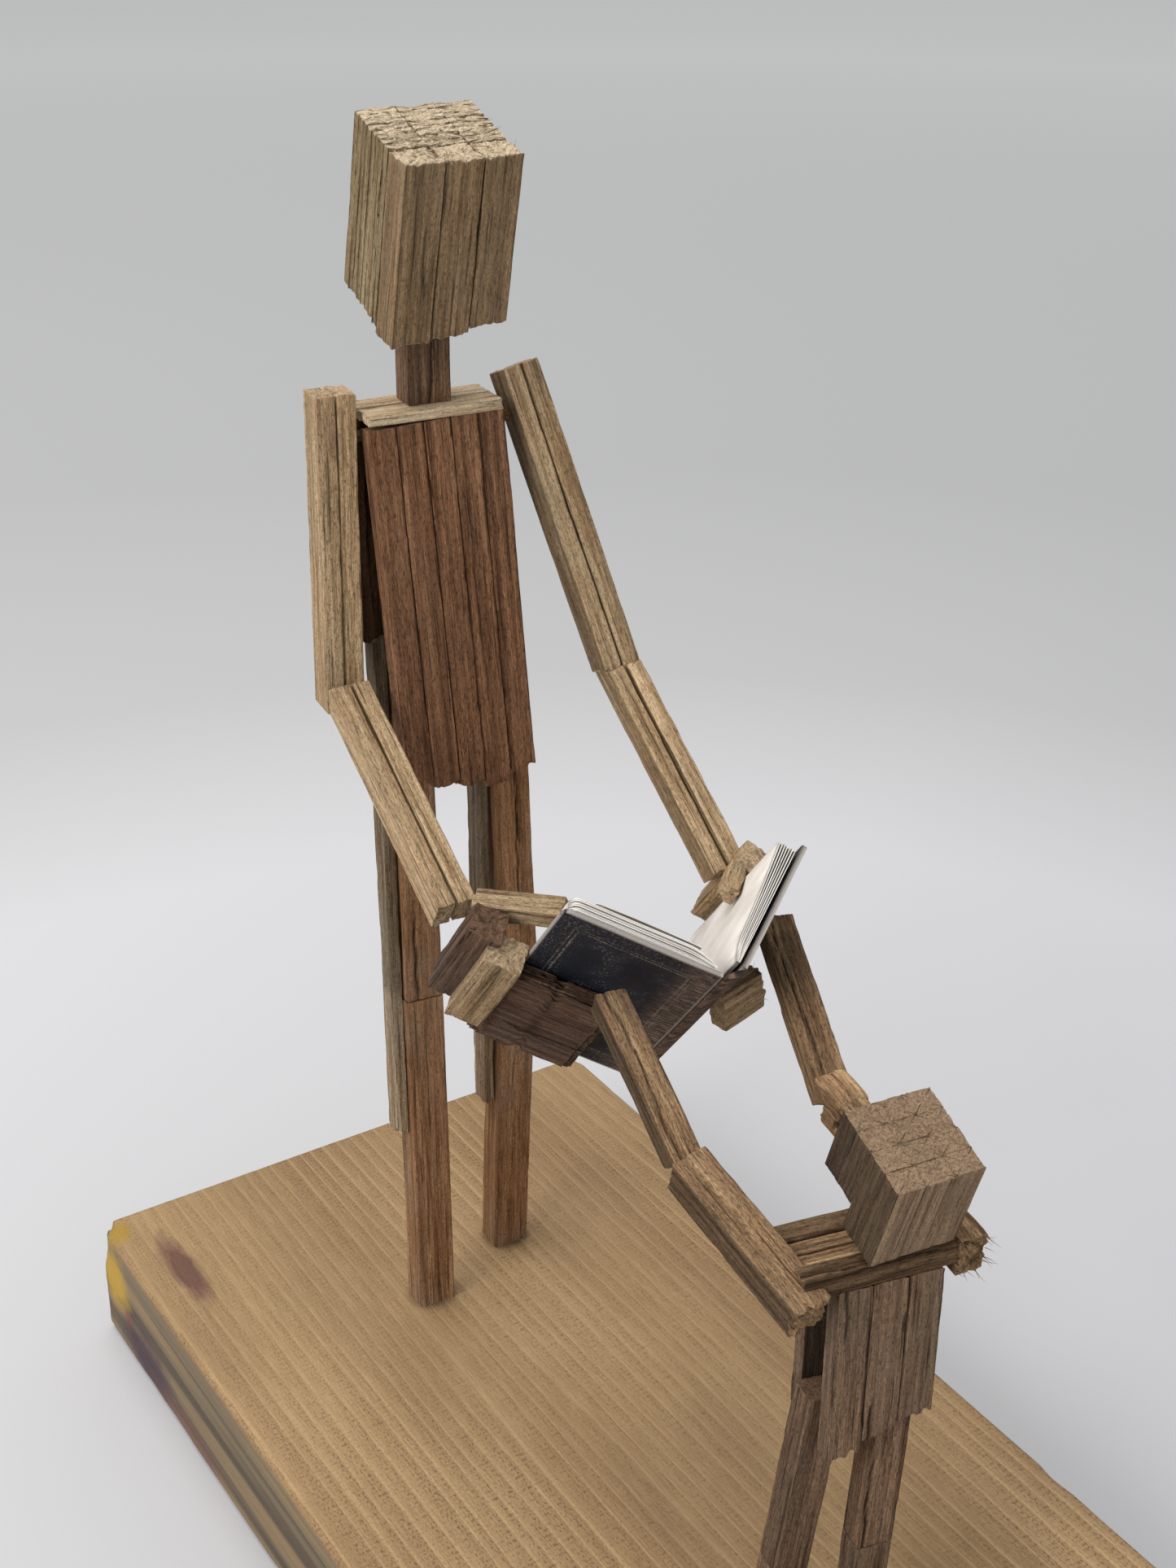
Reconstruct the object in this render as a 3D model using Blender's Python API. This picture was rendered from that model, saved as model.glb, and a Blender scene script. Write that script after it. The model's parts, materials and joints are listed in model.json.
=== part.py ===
"""A stick-figure tableau on a plank: a tall figure holds an open book out to a small figure.

World: metres, +Z up, origin at the centre of the plank's underside, Y along the plank.
The tall figure faces -Y, so its own right hand is on the -X side. The small one faces +Y.
"""

import math

import bmesh
import bpy
from mathutils import Matrix, Vector

MM = 0.001
GAP = 0.3 * MM
EDGE = 0.22 * MM
ROUND_SIDES = 24

# Plank
PLANK_WIDTH = 90 * MM
PLANK_LENGTH = 180 * MM
PLANK_THICK = 20 * MM
PLANK_WORN_CORNER = 4 * MM
PLANK_CHIPPED_CORNER = (3 * MM, 1.5 * MM)
SOCKET_DEEP = 4 * MM

# Tall figure
TALL_TURN = math.radians(-6)
TALL_ACROSS = Vector((math.cos(TALL_TURN), math.sin(TALL_TURN), 0))
TALL_HIP_Z = 126 * MM
TALL_KNEE_Z = 73 * MM
TALL_LEG_WIDE = 5.8 * MM
TALL_LEG_DEEP = 4.9 * MM
TALL_FEET = (Vector((-8.5, 47.2, 0)) * MM, Vector((8.2, 53.4, 0)) * MM)
TALL_HIPS = (Vector((-8.1, 50.2, 0)) * MM, Vector((6.4, 50.2, 0)) * MM)
TALL_KNEES_OUT = (0.0, 2.0 * MM)
TALL_SPLINT_WIDE = 1.6 * MM
TALL_SPLINT_DEEP = 3.4 * MM
TALL_SPLINT_BACK = 0.6 * MM
TALL_SPLINT_CLEAR = (0.0, 0.1 * MM)
TALL_SPLINT_LOWS = (50.5 * MM, 47 * MM)
TALL_SPLINT_HIGHS = (125.4 * MM, 112 * MM)
TALL_CHEST_TOP = Vector((-5.0, 46.2, 156.8)) * MM
TALL_CHEST_LOW = Vector((-3.3, 41.6, 108.0)) * MM
TALL_CHEST_WIDE = 18.2 * MM
TALL_SLAT_DEEP = 2.8 * MM
TALL_SLAT_DROPS = (1.8, 1.2, 0.4, -0.4, 1.0)
SLAT_END_SLOPE = 0.1
TALL_BACK_BEHIND = 4.9 * MM
TALL_BACK_LOW = 126.6 * MM
TALL_BAR_TALL = 1.3 * MM
TALL_BAR_DEEP = 3.7 * MM
TALL_NECK_WIDE = 4.9 * MM
TALL_NECK_DEEP = 4.0 * MM
TALL_NECK_TALL = 9.7 * MM
TALL_NECK_OUT = 0.3 * MM
TALL_NECK_AHEAD = 2.5 * MM
TALL_TENON_THICK = 1.8 * MM
TALL_TENON_TALL = 4.2 * MM
TALL_HEAD_WIDE = 15.2 * MM
TALL_HEAD_DEEP = 13.2 * MM
TALL_HEAD_TALL = 23.4 * MM
TALL_HEAD_CROWN = 1.1 * MM
TALL_HEAD_NOD = math.radians(13)
TALL_HEAD_TURN = math.radians(4.5)
TALL_HEAD_PLACE = Vector((-0.9, -1.7, 0)) * MM
TALL_FACE_DEEP = 4.4 * MM
TALL_FACE_LOWS = (0.6 * MM, 1.0 * MM, 1.9 * MM)
TALL_HEAD_JAW = ((0.0, 1.0 * MM), (3.6 * MM, 1.2 * MM))
TALL_HEAD_NAPE = (1.6 * MM, 5.2 * MM, 8.4 * MM)
TALL_DOWEL_THICK = 1.5 * MM
TALL_DOWEL_MID = Vector((-5.0, 48.6, 155.3)) * MM
TALL_DOWEL_ENDS = (-12.0 * MM, 14.2 * MM)

# Tall figure's arms: right, then left
TALL_SHOULDERS = (Vector((-17.2, 50.1, 161.4)) * MM, Vector((8.4, 49.0, 161.2)) * MM)
TALL_ELBOWS = (Vector((-17.7, 50.1, 123.6)) * MM, Vector((14.9, 35.2, 124.6)) * MM)
TALL_WRISTS = (Vector((-19.3, 18.1, 104.1)) * MM, Vector((17.2, 13.5, 103.4)) * MM)
ARM_STRIP = 2.4 * MM
ARM_DEEP = 4.4 * MM
ARM_TONGUE = 2.6 * MM
FOREARM_STRIP = 2.5 * MM
FOREARM_DEEPS = (4.8 * MM, 3.8 * MM)
FOREARM_SHORTS = (3.7 * MM, 2.9 * MM)
FOREARM_END_SLOPE = 0.5
SHOULDER_BORES = ((-14.5 * MM, -8.0 * MM), (8.0 * MM, 16.5 * MM))

# Tall figure's hands, in mm: a block's foot in its cover's frame, then its width, depth and length.
# A block laid slantwise gives two points to lay it through.
RIGHT_HAND_BACK = ((-26.4, 1.1, -27.5), (3.4, 4.0, 16.0))
RIGHT_PALM = ((-22.7, -1.1, -27.8), (3.4, 3.8, 15.6))
RIGHT_FINGERS = ((-20.8, -1.45, -22.4), (17.0, 2.1, 12.4))
RIGHT_THUMB_LINE = ((-27.2, 5.1, -14.2), (-18.4, 5.1, -8.6))
RIGHT_THUMB = (2.6, 3.2, 10.4)
LEFT_PALM = ((23.0, 1.9, -27.0), (3.6, 6.2, 13.6))
LEFT_THUMB_LINE = ((20.6, 4.6, -13.2), (14.8, 4.6, -10.4))
LEFT_THUMB = (2.6, 2.6, 6.4)
LEFT_FINGERS_LINE = ((8.7, 0.8, 89.9), (15.7, 1.8, 90.9))
LEFT_FINGERS = (5.6, 3.0, 6.6)

# Book: its frame has X across, Y in towards the reader and Z up the spine
BOOK_SPINE_TOP = Vector((1.0, -12.2, 104.5)) * MM
BOOK_LEAN = math.radians(38)
BOOK_OPEN = {-1: math.radians(42), 1: math.radians(37)}
COVER_WIDE = 20.4 * MM
COVER_TALL = 31.2 * MM
COVER_THICK = 0.7 * MM
SPINE_WIDE = 3.0 * MM
PAGE_INSET = 0.7 * MM
PAGES_THICK = {-1: 2.0 * MM, 1: 1.3 * MM}
LEAF_THICK = 0.3 * MM
LEAF_LIFT = math.radians(0.6)
LEAF_GUTTER = 3.0 * MM
LEAF_WIDE = 14.0 * MM
LEAF_INSET = 1.2 * MM

# Small figure
SMALL_SPOT = Vector((-3.6, -42.0, 0)) * MM
SMALL_TURN = math.radians(-12)
SMALL_PLACE = Matrix.Translation(SMALL_SPOT) @ Matrix.Rotation(SMALL_TURN, 4, "Z")
SMALL_HIP_Z = 68 * MM
SMALL_KNEE_Z = 43 * MM
SMALL_LEG_WIDE = 4.8 * MM
SMALL_LEG_DEEP = 4.0 * MM
SMALL_HIPS_OUT = (-3.4 * MM, 5.4 * MM)
SMALL_FEET_OUT = (-9.6 * MM, 3.2 * MM)
SMALL_CHEST_OUT = 1.8 * MM
SMALL_CHEST_TOP_Z = 85 * MM
SMALL_CHEST_WIDE = 12.8 * MM
SMALL_SLAT_DEEP = 2.4 * MM
SMALL_SLAT_LOWS = (61.6 * MM, 63.4 * MM, 65 * MM)
SMALL_FRONT_LOW = 62 * MM
SMALL_BODY_DEEP = 9.6 * MM
SMALL_BAR_TALL = 2.6 * MM
SMALL_NECK_AHEAD = 0.6 * MM
SMALL_NECK_LIFT = 0.7 * MM
SMALL_NECK_WIDE = 3.6 * MM
SMALL_NECK_OUT = 1.0 * MM
SMALL_NECK_TALL = 1.7 * MM
SMALL_TENON_THICK = 1.6 * MM
SMALL_TENON_TALL = 3.4 * MM
SMALL_HEAD_WIDE = 10.8 * MM
SMALL_HEAD_DEEP = 11.0 * MM
SMALL_HEAD_TALL = 13.0 * MM
SMALL_HEAD_TILT = math.radians(18)
SMALL_HEAD_TURN = math.radians(5)
SMALL_PEG_THICK = 1.8 * MM
SMALL_PEGS_LONG = 21.0 * MM

# Small figure's arms: left on the -X side, then right
SMALL_SHOULDERS = (Vector((-8.6, -5.2, 84.2)) * MM, Vector((11.5, -5.0, 86.2)) * MM)
SMALL_ELBOWS = (Vector((-14.8, -25.2, 91.4)) * MM, Vector((9.1, -21.7, 89.2)) * MM)
SMALL_HANDS = (Vector((-11.3, -4.2, 100.6)) * MM, Vector((20.2, 4.9, 96.9)) * MM)
SMALL_ARM_WIDES = (5.0 * MM, 3.8 * MM)
SMALL_ARM_DEEP = 4.6 * MM
SMALL_FOREARM_WIDES = (3.8 * MM, 4.6 * MM)
SMALL_FOREARM_DEEP = 3.4 * MM
SMALL_FOREARM_SHORT = 2.4 * MM
SMALL_FOREARM_END_SLOPE = 0.7


def clear_scene():
    for thing in list(bpy.data.objects):
        bpy.data.objects.remove(thing, do_unlink=True)


def material(name, colour, rough, metal=0.0):
    made = bpy.data.materials.new(name)
    made.use_nodes = True
    shader = made.node_tree.nodes["Principled BSDF"]
    shader.inputs["Base Color"].default_value = (*colour, 1.0)
    shader.inputs["Roughness"].default_value = rough
    shader.inputs["Metallic"].default_value = metal
    return made


def lay(start, end, across):
    """A frame at start whose Z runs to end and whose X is as near to across as it can be."""
    along = (Vector(end) - Vector(start)).normalized()
    side = (Vector(across) - along * along.dot(Vector(across))).normalized()
    deep = along.cross(side)
    turn = Matrix((side, deep, along)).transposed().to_4x4()
    return Matrix.Translation(start) @ turn


def add(name, mesh, place, look, parent=None):
    made = bpy.data.objects.new(name, mesh)
    bpy.context.scene.collection.objects.link(made)
    if parent is not None:
        made.parent = parent
        place = parent.matrix_world.inverted() @ place
    made.matrix_local = place
    made.data.materials.append(look)
    bpy.context.view_layer.update()
    return made


def stick(name, place, wide, deep, low, high, look, shift=(0, 0), slope=(0, 0, 0, 0), parent=None):
    """A squared stick in its own frame: Z from low to high, slope tips its two ends."""
    shape = bmesh.new()
    corners = []
    for level, (slope_x, slope_y) in ((low, slope[:2]), (high, slope[2:])):
        for side, back in ((-1, -1), (1, -1), (1, 1), (-1, 1)):
            x = side * wide / 2
            y = back * deep / 2
            z = level + x * slope_x + y * slope_y
            corners.append(shape.verts.new((x + shift[0], y + shift[1], z)))
    shape.faces.new(corners[3::-1])
    shape.faces.new(corners[4:])
    for k in range(4):
        n = (k + 1) % 4
        shape.faces.new((corners[k], corners[n], corners[n + 4], corners[k + 4]))
    bmesh.ops.bevel(shape, geom=list(shape.edges), offset=EDGE, segments=1, affect="EDGES")
    mesh = bpy.data.meshes.new(name)
    shape.to_mesh(mesh)
    shape.free()
    return add(name, mesh, place, look, parent)


def prism(name, place, outline, low, high, look, parent=None):
    """An outline in X and Y, given anticlockwise, drawn up from low to high."""
    shape = bmesh.new()
    bottom = [shape.verts.new((x, y, low)) for x, y in outline]
    top = [shape.verts.new((x, y, high)) for x, y in outline]
    shape.faces.new(bottom[::-1])
    shape.faces.new(top)
    for k in range(len(outline)):
        n = (k + 1) % len(outline)
        shape.faces.new((bottom[k], bottom[n], top[n], top[k]))
    mesh = bpy.data.meshes.new(name)
    shape.to_mesh(mesh)
    shape.free()
    return add(name, mesh, place, look, parent)


def rod(name, place, thick, low, high, look, parent=None):
    """A round dowel along Z, smooth round its side."""
    ring = []
    for k in range(ROUND_SIDES):
        turn = 2 * math.pi * k / ROUND_SIDES
        ring.append((math.cos(turn) * thick / 2, math.sin(turn) * thick / 2))
    made = prism(name, place, ring, low, high, look, parent)
    for face in made.data.polygons:
        face.use_smooth = len(face.vertices) == 4
    return made


def cut_away(target, cutter):
    cutter.hide_render = True
    cutter.display_type = "WIRE"
    cut = target.modifiers.new("cut_" + cutter.name, "BOOLEAN")
    cut.operation = "DIFFERENCE"
    cut.solver = "EXACT"
    cut.object = cutter


def join(target, extra):
    """Makes extra one body with target."""
    extra.hide_render = True
    extra.display_type = "WIRE"
    union = target.modifiers.new("join", "BOOLEAN")
    union.operation = "UNION"
    union.solver = "EXACT"
    union.object = extra


def joint(name, place, parent=None):
    """An empty on a joint's axis, its Z along the axis."""
    made = bpy.data.objects.new(name, None)
    bpy.context.scene.collection.objects.link(made)
    if parent is not None:
        made.parent = parent
        place = parent.matrix_world.inverted() @ place
    made.matrix_local = place
    bpy.context.view_layer.update()
    return made


def point(place):
    """A place given in mm, as a vector in metres."""
    return Vector(place) * MM


def on_line(low, high, level, top):
    """The point at this height on the line from low, on the plank, to high, at top."""
    spot = low.lerp(high, (level - PLANK_THICK) / (top - PLANK_THICK))
    return Vector((spot.x, spot.y, level))


def plank(look):
    wide = PLANK_WIDTH / 2
    long = PLANK_LENGTH / 2
    worn = PLANK_WORN_CORNER
    chip_wide, chip_long = PLANK_CHIPPED_CORNER
    outline = (
        (-wide, -long),
        (wide, -long),
        (wide, long - worn),
        (wide - 0.3 * worn, long - 0.3 * worn),
        (wide - worn, long),
        (-wide + chip_wide, long),
        (-wide, long - chip_long),
    )
    return prism("base_plank", Matrix.Identity(4), outline, 0, PLANK_THICK, look)


def leg(base, name, ends, top, knee_z, knee_out, wide, deep, across, look):
    """A shin let into the plank and a thigh butted on it; returns a frame for each."""
    foot, hip = ends
    knee = on_line(foot, hip, knee_z, top) + across * knee_out
    head = on_line(foot, hip, top, top)
    ground = on_line(foot, hip, PLANK_THICK, top)
    down = (ground - knee).normalized()
    sole = ground + down * (SOCKET_DEEP - GAP)
    shin = lay(sole, knee, across)
    thigh = lay(knee, head, across)
    stick(f"{name}_shin", shin, wide, deep, 0, (knee - sole).length - GAP / 2, look)
    stick(f"{name}_thigh", thigh, wide, deep, GAP / 2, (head - knee).length, look)
    room = 2 * GAP
    hole = stick(f"socket_{name}", shin, wide + room, deep + room, -GAP, 2 * SOCKET_DEEP, look)
    cut_away(base, hole)
    return shin, thigh


def tall_legs(base, looks):
    for k, name in enumerate(("tall_right", "tall_left")):
        ends = (TALL_FEET[k], TALL_HIPS[k])
        size = (TALL_LEG_WIDE, TALL_LEG_DEEP)
        bend = (TALL_HIP_Z, TALL_KNEE_Z, TALL_KNEES_OUT[k])
        shin, thigh = leg(base, name, ends, *bend, *size, TALL_ACROSS, looks["leg"])
        beside = Vector((-(TALL_LEG_WIDE + TALL_SPLINT_WIDE) / 2 - GAP, TALL_SPLINT_BACK, 0))
        low = shin @ (beside + Vector((0, 0, TALL_SPLINT_LOWS[k] - shin.translation.z)))
        high = thigh @ (beside + Vector((0, 0, TALL_SPLINT_HIGHS[k] - thigh.translation.z)))
        clear = TALL_ACROSS * -TALL_SPLINT_CLEAR[k]
        place = lay(low + clear, high + clear, TALL_ACROSS)
        size = (TALL_SPLINT_WIDE, TALL_SPLINT_DEEP, 0, (high - low).length)
        stick(f"{name}_splint", place, *size, looks["splint"], slope=(0, 0, 0.4, 0))


def tall_chest(looks):
    place = lay(TALL_CHEST_LOW, TALL_CHEST_TOP, TALL_ACROSS)
    high = (TALL_CHEST_TOP - TALL_CHEST_LOW).length
    pitch = (TALL_CHEST_WIDE + GAP) / len(TALL_SLAT_DROPS)
    for k, drop in enumerate(TALL_SLAT_DROPS):
        shift = ((k - (len(TALL_SLAT_DROPS) - 1) / 2) * pitch, 0)
        size = (pitch - GAP, TALL_SLAT_DEEP)
        name = f"tall_chest_slat_{k + 1}"
        stick(name, place, *size, drop * MM, high, looks["chest"], shift, (SLAT_END_SLOPE, 0, 0, 0))
    top = TALL_CHEST_TOP
    level = Matrix.Translation((top.x, top.y, 0)) @ Matrix.Rotation(TALL_TURN, 4, "Z")
    behind = (0, TALL_BACK_BEHIND)
    wide = TALL_CHEST_WIDE
    stick("tall_back_board", level, wide, TALL_SLAT_DEEP, TALL_BACK_LOW, top.z, looks["chest"], behind)
    middle = top.z + 2 * GAP + TALL_BAR_TALL / 2
    first = (TALL_BAR_DEEP - TALL_SLAT_DEEP) / 2
    for k, name in enumerate(("front", "back")):
        start = level @ Vector((-wide / 2, first + k * (TALL_BAR_DEEP + GAP), middle))
        bar = lay(start, start + TALL_ACROSS, (0, 0, 1))
        size = (TALL_BAR_TALL, TALL_BAR_DEEP)
        stick(f"tall_shoulder_bar_{name}", bar, *size, 0, wide, looks["bar"])
    low, high = TALL_DOWEL_ENDS
    axle = lay(TALL_DOWEL_MID, TALL_DOWEL_MID + TALL_ACROSS, (0, 0, 1))
    rod("tall_shoulder_dowel", axle, TALL_DOWEL_THICK, low, high, looks["dowel"])
    return level, middle + TALL_BAR_TALL / 2


def neck(name, place, wide, deep, tall, tenon_thick, tenon_tall, look):
    """A squared neck whose top is whittled to a round tenon for the head to turn on."""
    made = stick(name, place, wide, deep, 0, tall, look)
    join(made, rod(name + "_tenon", place, tenon_thick, tall - 1 * MM, tall + tenon_tall, look))


def tall_neck_and_head(level, bar_top, looks):
    foot = level @ Vector((TALL_NECK_OUT, TALL_NECK_AHEAD, bar_top + GAP))
    turn = Matrix.Rotation(TALL_TURN, 4, "Z")
    stand = Matrix.Translation(foot) @ turn
    neck(
        "tall_neck",
        stand,
        TALL_NECK_WIDE,
        TALL_NECK_DEEP,
        TALL_NECK_TALL,
        TALL_TENON_THICK,
        TALL_TENON_TALL,
        looks["neck"],
    )
    seat = stand @ Matrix.Translation((0, 0, TALL_NECK_TALL + GAP))
    pivot = joint("axis_tall_head", seat)
    place = seat @ Matrix.Translation(TALL_HEAD_PLACE)
    place = place @ Matrix.Rotation(TALL_HEAD_TURN, 4, "Z") @ Matrix.Rotation(TALL_HEAD_NOD, 4, "X")
    pitch = (TALL_HEAD_WIDE + GAP) / 3
    deep = TALL_HEAD_DEEP
    front = -(deep - TALL_FACE_DEEP) / 2
    for k, name in enumerate(("right", "middle", "left")):
        size = (pitch - GAP, TALL_FACE_DEEP)
        span = (TALL_FACE_LOWS[k], TALL_HEAD_TALL)
        shift = ((k - 1) * pitch, front)
        look = looks["face"]
        stick(f"tall_head_face_{name}", place, *size, *span, look, shift, (0.05, 0, 0, 0), pivot)
    start = -deep / 2 + TALL_FACE_DEEP + GAP
    outline = (
        *((start + ahead, rise) for ahead, rise in TALL_HEAD_JAW),
        (deep / 2 - TALL_HEAD_NAPE[0], TALL_HEAD_NAPE[1]),
        (deep / 2, TALL_HEAD_NAPE[2]),
        (deep / 2, TALL_HEAD_TALL + TALL_HEAD_CROWN),
        (start, TALL_HEAD_TALL),
    )
    sideways = Matrix(((0, 0, 1, 0), (1, 0, 0, 0), (0, 1, 0, 0), (0, 0, 0, 1)))
    half = TALL_HEAD_WIDE / 2
    look = looks["head_side"]
    rear = prism("tall_head_rear_block", place @ sideways, outline, -half, half, look, pivot)
    bore = TALL_TENON_THICK + 2 * GAP
    deep = TALL_TENON_TALL + GAP
    cut_away(rear, rod("tall_head_bore", seat, bore, -1 * MM, deep, look, pivot))


def tall_arm(k, pivot, looks):
    name = ("tall_right", "tall_left")[k]
    inner = (1, -1)[k]
    shoulder, elbow, wrist = TALL_SHOULDERS[k], TALL_ELBOWS[k], TALL_WRISTS[k]
    upper = lay(elbow, shoulder, TALL_ACROSS)
    length = (shoulder - elbow).length
    half = (ARM_STRIP + GAP) / 2
    size = (ARM_STRIP, ARM_DEEP)
    look = looks["arm"]
    for part, side, low in (("inner", inner, GAP), ("outer", -inner, GAP - ARM_TONGUE)):
        shift = (side * half, 0)
        strip = stick(f"{name}_upper_arm_{part}", upper, *size, low, length, look, shift, parent=pivot)
        if part == "inner":
            axle = lay(TALL_DOWEL_MID, TALL_DOWEL_MID + TALL_ACROSS, (0, 0, 1))
            bore = TALL_DOWEL_THICK + 2 * GAP
            cut_away(strip, rod(f"{name}_shoulder_bore", axle, bore, *SHOULDER_BORES[k], look, pivot))
    fore = lay(wrist, elbow, TALL_ACROSS)
    reach = (elbow - wrist).length - FOREARM_SHORTS[k]
    half = (FOREARM_STRIP + GAP) / 2
    size = (FOREARM_STRIP, FOREARM_DEEPS[k])
    for part, side in (("inner", inner), ("outer", -inner)):
        shift = (side * half, 0)
        slope = (0, 0, 0, FOREARM_END_SLOPE)
        stick(f"{name}_forearm_{part}", fore, *size, 0, reach, look, shift, slope, pivot)


def block(name, place, size, look, pivot):
    """A hand block that rises from its place by its length."""
    wide, deep, long = (side * MM for side in size)
    return stick(name, place, wide, deep, 0, long, look, parent=pivot)


def tall_hands(pivot, looks):
    """Whittled blocks: the right hand under the near cover, the left under the far one."""
    dark = looks["hand"]
    pale = looks["arm"]
    near = half_frame(-1)
    upright = (("hand_back", RIGHT_HAND_BACK, dark), ("palm", RIGHT_PALM, pale))
    for name, (foot, size), look in upright:
        block(f"tall_right_{name}", near @ Matrix.Translation(point(foot)), size, look, pivot)
    foot, size = RIGHT_FINGERS
    run = near @ Matrix.Translation(point(foot)) @ Matrix.Rotation(math.pi / 2, 4, "Y")
    block("tall_right_fingers", run, size, dark, pivot)
    start, end = (near @ point(spot) for spot in RIGHT_THUMB_LINE)
    inward = near.to_3x3() @ Vector((0, 1, 0))
    block("tall_right_thumb", lay(start, end, inward), RIGHT_THUMB, pale, pivot)
    far = half_frame(1)
    foot, size = LEFT_PALM
    block("tall_left_palm", far @ Matrix.Translation(point(foot)), size, pale, pivot)
    start, end = (far @ point(spot) for spot in LEFT_THUMB_LINE)
    inward = far.to_3x3() @ Vector((0, 1, 0))
    block("tall_left_thumb", lay(start, end, inward), LEFT_THUMB, pale, pivot)
    start, end = (point(spot) for spot in LEFT_FINGERS_LINE)
    block("tall_left_fingers", lay(start, end, (0, 0, 1)), LEFT_FINGERS, pale, pivot)


def book_place():
    return Matrix.Translation(BOOK_SPINE_TOP) @ Matrix.Rotation(BOOK_LEAN, 4, "X")


def half_frame(side):
    """One half of the book: X runs out from the spine on side 1, in towards it on side -1."""
    hinge = Matrix.Translation((side * (SPINE_WIDE / 2 + GAP), 0, 0))
    return book_place() @ hinge @ Matrix.Rotation(side * BOOK_OPEN[side], 4, "Z")


def sheet(name, side, outline, low, high, look, parent):
    """A flat part of one half, its outline given as if it were the half on side 1."""
    corners = [(side * x, y) for x, y in outline]
    if side < 0:
        corners.reverse()
    return prism(name, half_frame(side), corners, low, high, look, parent)


def book(pivot, looks):
    tall = COVER_TALL
    cover = ((0, 0), (COVER_WIDE, 0), (COVER_WIDE, COVER_THICK), (0, COVER_THICK))
    low = COVER_THICK + GAP
    edge = COVER_WIDE - PAGE_INSET
    for name, side in (("near", -1), ("far", 1)):
        high = low + PAGES_THICK[side]
        curl = ((4.4 * MM, high), (2.5 * MM, high - 0.5 * MM))
        pages = ((0.6 * MM, low), (edge, low), (edge - 0.3 * MM, high), *curl)
        sheet(f"book_{name}_cover", side, cover, -tall, 0, looks["cover"], pivot)
        span = (PAGE_INSET - tall, -PAGE_INSET)
        sheet(f"book_{name}_pages", side, pages, *span, looks["pages"], pivot)
    wide = SPINE_WIDE / 2
    outline = (
        (-wide, -0.1 * MM),
        (-wide / 2, -0.5 * MM),
        (wide / 2, -0.5 * MM),
        (wide, -0.1 * MM),
        (0.6 * wide, 0.6 * MM),
        (-0.6 * wide, 0.6 * MM),
    )
    prism("book_spine", book_place(), outline, -tall, 0, looks["cover"], pivot)


def loose_leaf(pivot, looks):
    """A leaf over the near pages, hinged beside the gutter."""
    rise = COVER_THICK + PAGES_THICK[-1] + 2 * GAP
    seat = half_frame(-1) @ Matrix.Translation((-LEAF_GUTTER, rise, -COVER_TALL / 2))
    hinge = joint("axis_loose_leaf", seat, pivot)
    half = COVER_TALL / 2 - LEAF_INSET
    outline = ((-LEAF_WIDE, 0), (0, 0), (0, LEAF_THICK), (-LEAF_WIDE, LEAF_THICK))
    place = seat @ Matrix.Rotation(-LEAF_LIFT, 4, "Z")
    prism("book_loose_leaf", place, outline, -half, half, looks["pages"], hinge)


def small_legs(base, looks):
    across = SMALL_PLACE.to_3x3() @ Vector((1, 0, 0))
    for k, name in enumerate(("small_left", "small_right")):
        foot = SMALL_PLACE @ Vector((SMALL_FEET_OUT[k], 0, 0))
        hip = SMALL_PLACE @ Vector((SMALL_HIPS_OUT[k], 0, 0))
        size = (SMALL_LEG_WIDE, SMALL_LEG_DEEP)
        leg(base, name, (foot, hip), SMALL_HIP_Z, SMALL_KNEE_Z, 0, *size, across, looks["small"])


def small_chest(looks):
    look = looks["small"]
    wide = SMALL_CHEST_WIDE
    deep = SMALL_SLAT_DEEP
    off = (SMALL_BODY_DEEP - deep) / 2
    top = SMALL_CHEST_TOP_Z
    pitch = (wide + GAP) / len(SMALL_SLAT_LOWS)
    place = SMALL_PLACE @ Matrix.Translation((SMALL_CHEST_OUT, 0, 0))
    for k, low in enumerate(SMALL_SLAT_LOWS):
        shift = ((k - 1) * pitch, -off)
        name = f"small_back_slat_{k + 1}"
        stick(name, place, pitch - GAP, deep, low, top, look, shift, (0.15, 0, 0, 0))
    stick("small_front_board", place, wide, deep, SMALL_FRONT_LOW, top, look, (0, off))
    bar = place @ Matrix.Translation((-wide / 2, 0, top + GAP + SMALL_BAR_TALL / 2))
    bar = bar @ Matrix.Rotation(math.pi / 2, 4, "Y")
    shoulders = stick("small_shoulder_bar", bar, SMALL_BAR_TALL, SMALL_BODY_DEEP, 0, wide, looks["bar"])
    half = SMALL_PEGS_LONG / 2
    axle = place @ Matrix.Translation((0, 0, top + GAP + SMALL_BAR_TALL / 2))
    axle = axle @ Matrix.Rotation(math.pi / 2, 4, "Y")
    join(shoulders, rod("small_shoulder_pegs", axle, SMALL_PEG_THICK, -half, half, looks["bar"]))
    return axle


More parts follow.
